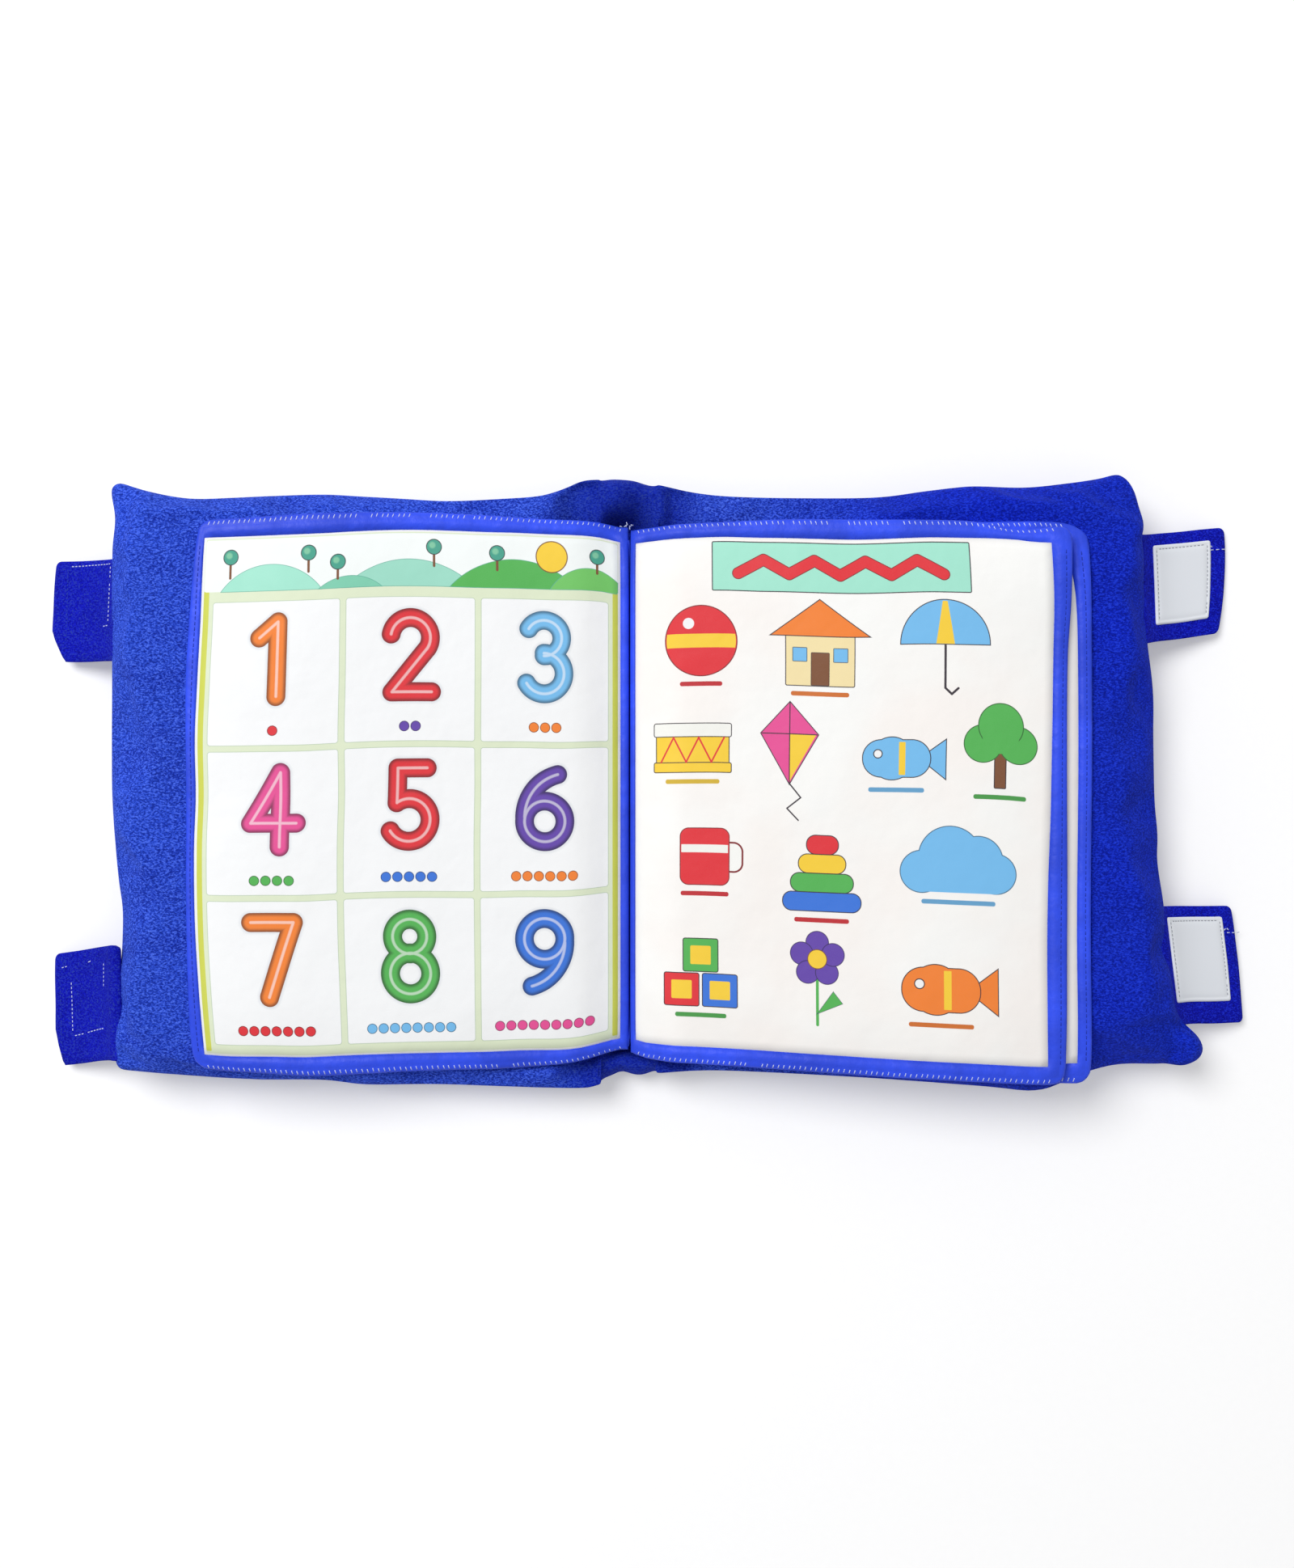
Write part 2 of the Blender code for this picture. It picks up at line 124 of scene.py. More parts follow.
# Edges of the covers: (reach from the gutter, Y) at head and foot, (Y, reach) at the fore-edge.
LEFT_COVER_HEAD = ((0.0143, 0.1474), (0.0228, 0.1466), (0.0306, 0.1431), (0.042, 0.1395),
                   (0.0608, 0.1379), (0.0885, 0.1366), (0.108, 0.1376), (0.1275, 0.1386),
                   (0.147, 0.1396), (0.1665, 0.1391), (0.1941, 0.1378), (0.2129, 0.1374),
                   (0.2321, 0.1407), (0.2462, 0.145), (0.25, 0.1462))
LEFT_COVER_FOOT = ((0.0143, -0.1474), (0.0195, -0.149), (0.04, -0.1489), (0.06, -0.1482),
                   (0.0924, -0.147), (0.1302, -0.1469), (0.1458, -0.1448), (0.1798, -0.1443),
                   (0.2094, -0.1426), (0.2438, -0.1396), (0.25, -0.1385))
LEFT_COVER_FORE = ((-0.138, 0.2485), (-0.11, 0.2476), (-0.0786, 0.2452), (-0.0594, 0.245),
                   (-0.05, 0.2466), (-0.0308, 0.2485), (0, 0.2502), (0.06, 0.2501),
                   (0.112, 0.25), (0.1273, 0.2486), (0.1407, 0.2505), (0.1454, 0.2488))
RIGHT_COVER_HEAD = ((0.0143, 0.1449), (0.0331, 0.1407), (0.053, 0.1388), (0.0928, 0.138),
                    (0.1228, 0.1384), (0.1427, 0.141), (0.1665, 0.1434), (0.1922, 0.1428),
                    (0.2121, 0.1447), (0.2282, 0.147), (0.2365, 0.149), (0.2415, 0.1476))
RIGHT_COVER_FOOT = ((0.0143, -0.142), (0.0347, -0.1406), (0.057, -0.1409), (0.1135, -0.1437),
                    (0.1455, -0.1458), (0.175, -0.148), (0.189, -0.1492), (0.2, -0.1483),
                    (0.2125, -0.1443), (0.2255, -0.1396), (0.243, -0.138), (0.26, -0.138),
                    (0.277, -0.137))
RIGHT_COVER_FORE = ((-0.137, 0.272), (-0.134, 0.2762), (-0.129, 0.2785), (-0.122, 0.2752),
                    (-0.1148, 0.2672), (-0.10, 0.2635), (-0.0608, 0.2594), (-0.0369, 0.256),
                    (-0.027, 0.2566), (-0.013, 0.2551), (0.0196, 0.2543), (0.0415, 0.2543),
                    (0.0685, 0.2512), (0.1195, 0.2486), (0.1293, 0.2464), (0.1375, 0.2449),
                    (0.1454, 0.241))

# Ends of the spine's plush, as (distance from the gutter, Y).
SPINE_HEAD = ((-0.0145, 0.1474), (-0.01, 0.1487), (-0.003, 0.1486), (0.003, 0.148),
              (0.008, 0.1465), (0.0145, 0.1449))
SPINE_FOOT = ((-0.0145, -0.1474), (-0.0082, -0.145), (-0.0035, -0.143), (0.0023, -0.1446),
              (0.0068, -0.1448), (0.0145, -0.142))


def clamp(value, low=0.0, high=1.0):
    return max(low, min(high, value))


def smooth(share):
    share = clamp(share)
    return share * share * (3 - 2 * share)


def blend(low, high, share):
    return low + (high - low) * share


def along(points, place):
    """The height of a soft curve through the points, at a place along it."""
    if place <= points[0][0]:
        return points[0][1]
    if place >= points[-1][0]:
        return points[-1][1]
    last = len(points) - 1
    spot = next(i for i in range(last) if points[i + 1][0] >= place)
    slopes = []
    for i in (spot, spot + 1):
        before, after = points[max(i - 1, 0)], points[min(i + 1, last)]
        slopes.append((after[1] - before[1]) / (after[0] - before[0]))
    (x0, y0), (x1, y1) = points[spot], points[spot + 1]
    run = x1 - x0
    t = (place - x0) / run
    return (
        y0 * (1 + 2 * t) * (1 - t) ** 2
        + slopes[0] * run * t * (1 - t) ** 2
        + y1 * t * t * (3 - 2 * t)
        + slopes[1] * run * t * t * (t - 1)
    )


def ripple(x, y, grain, seed=0):
    """A soft random wave from -1 to 1 with bumps about a grain wide."""
    return noise.noise(Vector((x / grain, y / grain, seed * 7.3)))


# Shader maths.


class Signal:
    """A value on its way through the nodes of a finish."""

    def __init__(self, finish, socket):
        self.finish = finish
        self.socket = socket

    def __add__(self, other):
        return self.finish.math("ADD", self, other)

    def __sub__(self, other):
        return self.finish.math("SUBTRACT", self, other)

    def __rsub__(self, other):
        return self.finish.math("SUBTRACT", other, self)

    def __mul__(self, other):
        return self.finish.math("MULTIPLY", self, other)

    __radd__ = __add__
    __rmul__ = __mul__


class Finish:
    """A material, with the tools to write its nodes as sums."""

    def __init__(self, name, **constants):
        self.material = bpy.data.materials.new(name)
        self.material.use_nodes = True
        self.tree = self.material.node_tree
        self.shader = self.tree.nodes["Principled BSDF"]
        for socket, value in constants.items():
            self.shader.inputs[socket.replace("_", " ")].default_value = value

    def node(self, kind, settings=None, inputs=None, output=0):
        """Adds a node: its settings first, then the values or links of its sockets."""
        made = self.tree.nodes.new("ShaderNode" + kind)
        for name, value in (settings or {}).items():
            setattr(made, name, value)
        for socket, value in (inputs or {}).items():
            if isinstance(value, Signal):
                self.tree.links.new(value.socket, made.inputs[socket])
            else:
                made.inputs[socket].default_value = value
        return Signal(self, made.outputs[output])

    def math(self, operation, *values):
        return self.node("Math", {"operation": operation}, dict(enumerate(values)))

    def limit(self, value):
        """The value held between 0 and 1."""
        return self.node("Clamp", None, {"Value": value})

    def vector(self, operation, *values, output=0, scale=None):
        inputs = dict(enumerate(values))
        if scale is not None:
            inputs["Scale"] = scale
        return self.node("VectorMath", {"operation": operation}, inputs, output)

    def mix(self, share, low, high):
        colours = {6: low, 7: high}
        for socket, value in colours.items():
            if not isinstance(value, Signal):
                colours[socket] = (*value, 1)
        return self.node("Mix", {"data_type": "RGBA"}, {0: share, **colours}, 2)

    def place(self, scale=(1, 1, 1)):
        """The spot on the object, in metres times the scale."""
        spot = self.node("TexCoord", output=3)
        return self.vector("MULTIPLY", spot, scale)

    def flat_place(self):
        """The spot on the flat cut of the cloth, in millimetres."""
        return self.node("Attribute", {"attribute_name": "cut"}, output=1)

    def noise(self, place, size, detail=2, roughness=0.5, output=0):
        inputs = {"Vector": place, "Scale": size, "Detail": detail, "Roughness": roughness}
        return self.node("TexNoise", None, inputs, output)

    def range(self, value, low, high, to_low=0, to_high=1):
        inputs = {0: value, 1: low, 2: high, 3: to_low, 4: to_high}
        return self.node("MapRange", {"interpolation_type": "SMOOTHSTEP"}, inputs)

    def feed(self, socket, value):
        self.tree.links.new(value.socket, self.shader.inputs[socket])

    def bump(self, height, depth, strength=1.0, normal=None):
        inputs = {"Height": height, "Strength": strength, "Distance": depth}
        if normal:
            inputs["Normal"] = normal
        return self.node("Bump", None, inputs)


def deeper(colour, share):
    return tuple(value * share for value in colour)


def plush_finish(name, colours, glow):
    """Short-pile plush: soft patches where the nap lies another way, and fine fibres.

    Its colours are a lit and a shaded copy of one plush, as painted light: the left cover's is
    painted lighter and the right cover's darker, with painted shade in the gutter between.
    """
    finish = Finish(
        name, Roughness=0.9, Sheen_Weight=0.16, Sheen_Roughness=0.5,
        Sheen_Tint=(*glow, 1), Specular_IOR_Level=0.1,
    )
    spot = finish.place()
    nap = finish.noise(spot, 9, 3, 0.5)
    patch = finish.noise(finish.place((1, 1.8, 1)), 38, 4, 0.6)
    bend = finish.noise(spot, 420, 2, output=1)
    curled = finish.vector("ADD", spot, finish.vector("SCALE", bend, scale=0.0012))
    fibre = finish.noise(finish.vector("MULTIPLY", curled, (1, 1.7, 1.3)), 820, 3, 0.65)
    hair = finish.noise(curled, 1900, 2, 0.6)
    # The left colour is the plush painted lighter as lit, the right one the same plush painted
    # darker as in shade, and the middle one is painted shade in the gutter.
    left, right, middle = colours
    from_left = finish.vector("DOT_PRODUCT", spot, (1, 0, 0), output=1) - GUTTER
    # Painted light and shade: the left cover takes the lit colour and the right cover the shaded
    # one.
    lit_to_shaded = finish.range(from_left + nap * 0.06, 0.09, 0.17)
    tone = finish.mix(lit_to_shaded, left, right)
    # Painted shade: the plush darkens towards the gutter between the covers.
    near = finish.range(finish.math("ABSOLUTE", from_left), 0.05, 0.012)
    tone = finish.mix(near * 0.8, tone, middle)
    shade = finish.range(nap, 0.35, 0.65, 0, 0.3)
    tone = finish.mix(shade, tone, deeper(left, 0.55))
    tone = finish.mix(finish.range(patch, 0.42, 0.7) * 0.35, tone, deeper(right, 0.6))
    pit = finish.range(fibre, 0.55, 0.38)
    tone = finish.mix(pit * 0.75, tone, deeper(right, 0.3))
    tip = finish.range(fibre, 0.5, 0.64) * 0.75 + finish.range(hair, 0.56, 0.76) * 0.3
    # The pile's tips are a lighter grain. Their colour is a painted highlight: bright on the lit
    # left cover, dull on the shaded right cover, and darker in the gutter as painted shade.
    shaded_tips = (right[0] + 0.016, right[1] + 0.04, right[2] * 1.2)
    tip_highlight = finish.mix(lit_to_shaded, glow, shaded_tips)
    tip_highlight = finish.mix(near, tip_highlight, deeper(glow, 0.3))
    finish.feed("Base Color", finish.mix(tip, tone, tip_highlight))
    pile = finish.bump(hair, 0.0004, 0.7)
    finish.feed("Normal", finish.bump(fibre, 0.0009, 0.7, pile))
    return finish.material


def satin_finish(name, colour):
    """Smooth woven satin with fine threads and faint rumples."""
    finish = Finish(
        name, Roughness=0.5, Sheen_Weight=0.04, Sheen_Roughness=0.4,
        Sheen_Tint=(0.4, 0.5, 1, 1), Specular_IOR_Level=0.28,
    )
    spot = finish.place()
    rumple = finish.noise(finish.place((1, 1, 0.4)), 150, 3, 0.55)
    thread = finish.noise(finish.place((1, 0.12, 1)), 2600, 2, 0.5)
    wide = finish.noise(spot, 22, 2)
    tone = finish.mix(finish.range(wide, 0.32, 0.68), deeper(colour, 0.78), deeper(colour, 1.1))
    tone = finish.mix(finish.range(rumple, 0.35, 0.75) * 0.35, tone, deeper(colour, 0.55))
    finish.feed("Base Color", finish.mix(thread * 0.25, tone, deeper(colour, 1.3)))
    finish.feed("Roughness", finish.range(rumple, 0.2, 0.8, 0.4, 0.58))
    weave = finish.bump(thread, 0.0002, 0.3)
    finish.feed("Normal", finish.bump(rumple, 0.0011, 0.6, weave))
    return finish.material


def plain_cloth(name, colour, grain, roughness=0.85, depth=0.0003, speckle=0.25):
    """A plain matt cloth or tape with its own grain."""
    finish = Finish(name, Roughness=roughness, Specular_IOR_Level=0.25)
    spot = finish.place()
    fine = finish.noise(spot, grain, 3, 0.65)
    wide = finish.noise(spot, grain / 30, 2)
    tone = finish.mix(finish.range(wide, 0.3, 0.7), deeper(colour, 0.92), colour)
    finish.feed("Base Color", finish.mix((1 - fine) * speckle, tone, deeper(colour, 0.55)))
    finish.feed("Normal", finish.bump(fine, depth, 0.8))
    return finish.material


def tape_finish(name, colour, weave):
    """Hook or loop tape: rows of fine loops between smooth woven edges."""
    finish = Finish(name, Roughness=0.75, Specular_IOR_Level=0.3)
    spot = finish.place()
    loops = finish.noise(spot, weave, 2, 0.6)
    rows = finish.noise(finish.place((0.25, 1, 0.25)), weave * 0.7, 2, 0.5)
    wide = finish.noise(spot, 120, 2)
    depth = finish.range(loops * 0.5 + rows * 0.5, 0.38, 0.6)
    tone = finish.mix(depth, deeper(colour, 0.72), deeper(colour, 1.15))
    share = finish.range(wide, 0.3, 0.7) * 0.3
    finish.feed("Base Color", finish.mix(share, tone, deeper(colour, 0.8)))
    finish.feed("Normal", finish.bump(depth, 0.0006, 0.8))
    return finish.material


def floor_finish(name):
    """A pale matt floor that the camera sees as nearly white."""
    finish = Finish(name, Roughness=0.9, Specular_IOR_Level=0.0)
    path = finish.tree.nodes.new("ShaderNodeLightPath")
    seen = Signal(finish, path.outputs["Is Camera Ray"])
    for ray in ("Is Glossy Ray", "Is Transmission Ray"):
        seen = finish.math("MAXIMUM", seen, Signal(finish, path.outputs[ray]))
    grain = finish.noise(finish.place(), 300, 2)
    finish.feed("Base Color", finish.mix(grain, (0.80, 0.80, 0.805), (0.83, 0.83, 0.835)))
    glow = finish.node("Emission", None, {"Color": (1, 1, 1, 1), "Strength": seen * 0.25})
    total = finish.node("AddShader", None, {0: Signal(finish, finish.shader.outputs[0]), 1: glow})
    far = finish.range(finish.vector("LENGTH", finish.place(), output=1), 0.55, 1.5)
    white = finish.node("Emission", None, {"Color": (1, 1, 1, 1), "Strength": 1.0})
    total = finish.node("MixShader", None, {0: far * seen, 1: total, 2: white})
    out = finish.tree.nodes["Material Output"]
    finish.tree.links.new(total.socket, out.inputs["Surface"])
    return finish.material


# Printed cloth.

INK = (0.03, 0.02, 0.03)
RED = (0.75, 0.02, 0.03)
ORANGE = (0.9, 0.22, 0.02)
YELLOW = (0.93, 0.62, 0.03)
GREEN = (0.08, 0.45, 0.08)
MINT = (0.36, 0.78, 0.62)
SKY = (0.17, 0.5, 0.85)
BLUE = (0.03, 0.17, 0.7)
VIOLET = (0.12, 0.05, 0.4)
PINK = (0.8, 0.07, 0.3)
LEAF_LINE = (0.62, 0.66, 0.08)
PALE_GREEN = (0.74, 0.82, 0.6)
BROWN = (0.2, 0.07, 0.02)

# Each numeral in a box 20 wide and 32 high: lines through points, and arcs as a middle, a
# radius, the way to the arc's middle and how far it runs to each side, in degrees.
NUMERALS = {
    1: ([(4, 24), (11, 30), (11, 2)],),
    2: ((10, 22.5, 7.5, 67.5, 102.5), [(16.1, 18.2), (3, 2), (18, 2)]),
    3: ((9.5, 23.2, 6.8, 30, 120), (9.5, 9.7, 7.7, -30, 120)),
    4: ([(13, 2), (13, 30), (2, 11), (19, 11)],),
    5: ([(16.5, 30), (5.5, 30), (5.2, 17)], (9.8, 10.5, 8, -12.5, 137.5)),
    6: ((10, 10, 7.7, 90, 180), (19.3, 11.5, 17, 142.5, 37.5)),
    7: ([(2, 30), (18, 30), (8, 2)],),
    8: ((10, 23.4, 6.4, 90, 180), (10, 9.6, 7.6, 90, 180)),
    9: ((10, 22, 7.7, 90, 180), (0.7, 20.5, 17, -37.5, 37.5)),
}


class Print:
    """A printed picture on cloth, painted shape by shape on flat coordinates.

    Each shape is a distance in millimetres: below zero inside it and above zero outside.
    """

    def __init__(self, name, ground, shade):
        self.finish = Finish(name, Roughness=0.62, Specular_IOR_Level=0.3)
        self.point = self.finish.flat_place()
        spot = self.finish.place()
        wide = self.finish.noise(spot, 16, 3, 0.5)
        self.colour = self.finish.mix(self.finish.range(wide, 0.35, 0.7), ground, shade)

    def disc(self, centre, radius):
        away = self.finish.vector("DISTANCE", self.point, (*centre, 0), output=1)
        return away - radius

    def box(self, centre, half, corner=1.0):
        finish = self.finish
        away = finish.vector("ABSOLUTE", finish.vector("SUBTRACT", self.point, (*centre, 0)))
        away = finish.vector("SUBTRACT", away, (half[0] - corner, half[1] - corner, 0))
        away = finish.vector("MAXIMUM", away, (0, 0, 0))
        return finish.vector("LENGTH", away, output=1) - corner

    def stroke(self, points, radius):
        finish = self.finish
        found = None
        for start, end in zip(points, points[1:]):
            run = (end[0] - start[0], end[1] - start[1], 0)
            square = run[0] ** 2 + run[1] ** 2
            from_start = finish.vector("SUBTRACT", self.point, (*start, 0))
            dot = finish.vector("DOT_PRODUCT", from_start, run, output=1)
            share = finish.limit(dot * (1 / square))
            foot = finish.vector("SCALE", run, scale=share)
            away = finish.vector("DISTANCE", from_start, foot, output=1)
            found = away if found is None else finish.math("MINIMUM", found, away)
        return found - radius

    def arc(self, centre, radius, middle, half):
        """How far a point is from an arc round a centre, its angles in degrees."""
        finish = self.finish
        from_centre = finish.vector("SUBTRACT", self.point, (*centre, 0))
        ring = finish.math("ABSOLUTE", finish.vector("LENGTH", from_centre, output=1) - radius)
        if half >= 180:
            return ring
        turn, wide = math.radians(middle), math.radians(half)
        out = (math.cos(turn), math.sin(turn), 0)
        y = finish.vector("DOT_PRODUCT", from_centre, out, output=1)
        x = finish.vector("DOT_PRODUCT", from_centre, (-out[1], out[0], 0), output=1)
        x = finish.math("ABSOLUTE", x)
        folded = finish.node("CombineXYZ", None, {"X": x, "Y": y})
        end = (radius * math.sin(wide), radius * math.cos(wide), 0)
        cap = finish.vector("DISTANCE", folded, end, output=1)
        past = finish.math("GREATER_THAN", x * math.cos(wide), y * math.sin(wide))
        return finish.math("MAXIMUM", ring, cap * past)

    def numeral(self, number, corner, scale, radius):
        """How far a point is from the strokes of a numeral."""
        found = None
        for part in NUMERALS[number]:
            if isinstance(part, list):
                places = [(corner[0] + x * scale, corner[1] + y * scale) for x, y in part]
                away = self.stroke(places, radius)
            else:
                x, y, size, middle, half = part
                centre = (corner[0] + x * scale, corner[1] + y * scale)
                away = self.arc(centre, size * scale, middle, half) - radius
            found = away if found is None else self.either(found, away)
        return found

    def shape(self, corners):
        """A convex patch with straight sides, its corners in anticlockwise order."""
        finish = self.finish
        found = None
        for start, end in zip(corners, corners[1:] + corners[:1]):
            length = math.hypot(end[0] - start[0], end[1] - start[1])
            out = ((end[1] - start[1]) / length, (start[0] - end[0]) / length, 0)
            reach = out[0] * start[0] + out[1] * start[1]
            away = finish.vector("DOT_PRODUCT", self.point, out, output=1) - reach
            found = away if found is None else finish.math("MAXIMUM", found, away)
        return found

    def both(self, first, second):
        return self.finish.math("MAXIMUM", first, second)

    def either(self, first, second):
        return self.finish.math("MINIMUM", first, second)

    def paint(self, distance, colour, edge=0.0, soft=0.22):
        """Lays a colour where the distance is below the edge."""
        share = self.finish.math("MULTIPLY_ADD", distance, -1 / soft, edge / soft + 0.5)
        self.colour = self.finish.mix(share, self.colour, colour)

    def outlined(self, distance, colour, line=INK, width=0.45):
        """Lays a colour with a thin line round it."""
        self.paint(distance, line, width)
        self.paint(distance, colour)

    def done(self):
        finish = self.finish
        spot = finish.place()
        thread = finish.noise(spot, 2200, 2, 0.6)
        rumple = finish.noise(spot, 38, 3, 0.5)
        finish.feed("Base Color", finish.mix(thread * 0.08, self.colour, (0.45, 0.45, 0.5)))
        finish.feed("Normal", finish.bump(rumple, 0.0022, 0.5, finish.bump(thread, 0.0001, 0.3)))
        finish.feed("Roughness", finish.range(rumple, 0.3, 0.7, 0.5, 0.68))
        return finish.material


# Hills as (x, y of the middle below the band's, radius, colour), bushes as (x, y, height).
HILL_LINE = (0.1, 0.4, 0.3)
HILLS = (
    (100, -46, 46, deeper(MINT, 0.9)), (34, -30, 30, MINT), (150, -40, 41, GREEN),
    (186, -24, 22, (0.16, 0.56, 0.12)), (72, -30, 23, (0.2, 0.6, 0.42)),
)
BUSHES = ((14, -2, 8), (52, 0, 7), (66, -4, 6), (112, 1, 7), (142, 0, 6), (190, 0, 6))

# Colours of the nine numerals, in their order.
NUMERAL_COLOURS = (ORANGE, RED, SKY, PINK, RED, VIOLET, ORANGE, GREEN, BLUE)


def counting_print(name, ground, size):
    """A counting page: plain numerals from 1 to 9 with beads to count, under a hilly band."""
    width, height = size
    page = Print(name, ground, deeper(ground, 0.96))
    middle = width / 2
    page.paint(page.box((middle, height / 2), (middle - 1.2, height / 2 - 1), 1), PALE_GREEN, 0)
    for x in (2.6, width - 2.6):
        page.paint(page.box((x, height / 2 - 12), (1.3, height / 2 - 14), 0.6), LEAF_LINE)
    top = height - 14
    band = page.box((middle, top), (middle - 1.4, 12.4), 1)
    page.paint(band, (0.9, 0.94, 0.93))
    for x, y, radius, colour in HILLS:
        hill = page.both(page.disc((x, top + y), radius), band)
        page.outlined(hill, colour, HILL_LINE, 0.25)
    page.outlined(page.disc((168, top + 3), 7.2), YELLOW, BROWN, 0.5)
    for x, y, tall in BUSHES:
        page.paint(page.stroke([(x, top + y - 4), (x, top + y + tall - 4)], 0.6), BROWN)
        page.outlined(page.disc((x, top + y + tall - 2), 3.4), (0.05, 0.35, 0.25), INK, 0.4)
        page.paint(page.disc((x - 0.8, top + y + tall - 1.2), 1.5), (0.2, 0.55, 0.35), 0, 0.8)
    cell = ((width - 9) / 3, (height - 34) / 3)
    for number in range(1, 10):
        column, row = (number - 1) % 3, (number - 1) // 3
        centre = (4.5 + cell[0] * (column + 0.5), 4 + cell[1] * (2.5 - row))
        half = (cell[0] / 2 - 1.6, cell[1] / 2 - 1.6)
        page.outlined(page.box(centre, half, 1.2), (0.93, 0.94, 0.95), (0.5, 0.62, 0.45), 0.3)
        colour = NUMERAL_COLOURS[number - 1]
        figure = page.numeral(number, (centre[0] - 12.5, centre[1] - 13.5), 1.25, 4.0)
        page.paint(figure, (0.8, 0.82, 0.85), 1.5, 1.2)
        page.paint(figure, deeper(colour, 0.3), 0.5)
        page.paint(figure, deeper(colour, 0.72), -0.4, 1.2)
        page.paint(figure, colour, -1.2, 1.0)
        page.paint(figure, tuple(0.45 + 0.55 * value for value in colour), -3.35, 0.5)
        bead = NUMERAL_COLOURS[(number + 3) % 9]
        for count in range(number):
            x = centre[0] + (count - (number - 1) / 2) * 5.4
            page.outlined(page.disc((x, centre[1] - 27), 2.1), bead, deeper(bead, 0.3), 0.35)
    return page.done()


def picture_print(name, ground, size, motifs, title=True):
    """A picture page: a bare title plate and plain toy shapes on a cream ground."""
    width, height = size
    blush = (ground[0], ground[1] * 0.955, ground[2] * 0.94)
    page = Print(name, ground, blush)
    if title:
        plate = page.box((width * 0.5, height - 14), (60, 11.5), 0.4)
        page.outlined(plate, MINT, INK, 0.5)
        turns = [
            (width * 0.5 - 48 + 12 * i, height - 14 + (3.4 if i % 2 else -3.4)) for i in range(9)
        ]
        wave = page.stroke(turns, 2.5)
        page.paint(wave, deeper(RED, 0.3), 0.4)
        page.paint(wave, RED)
    for kind, x, y, wide, colour in motifs:
        wide *= MOTIF_SCALE
        paint_motif(page, kind, x, y, wide, colour)
        if kind in BAR_PLACES:
            bar = page.box((x, y - wide * BAR_PLACES[kind] - 4), (wide * 0.6, 1.1), 1.0)
            page.paint(bar, deeper(colour, 0.7))
    return page.done()


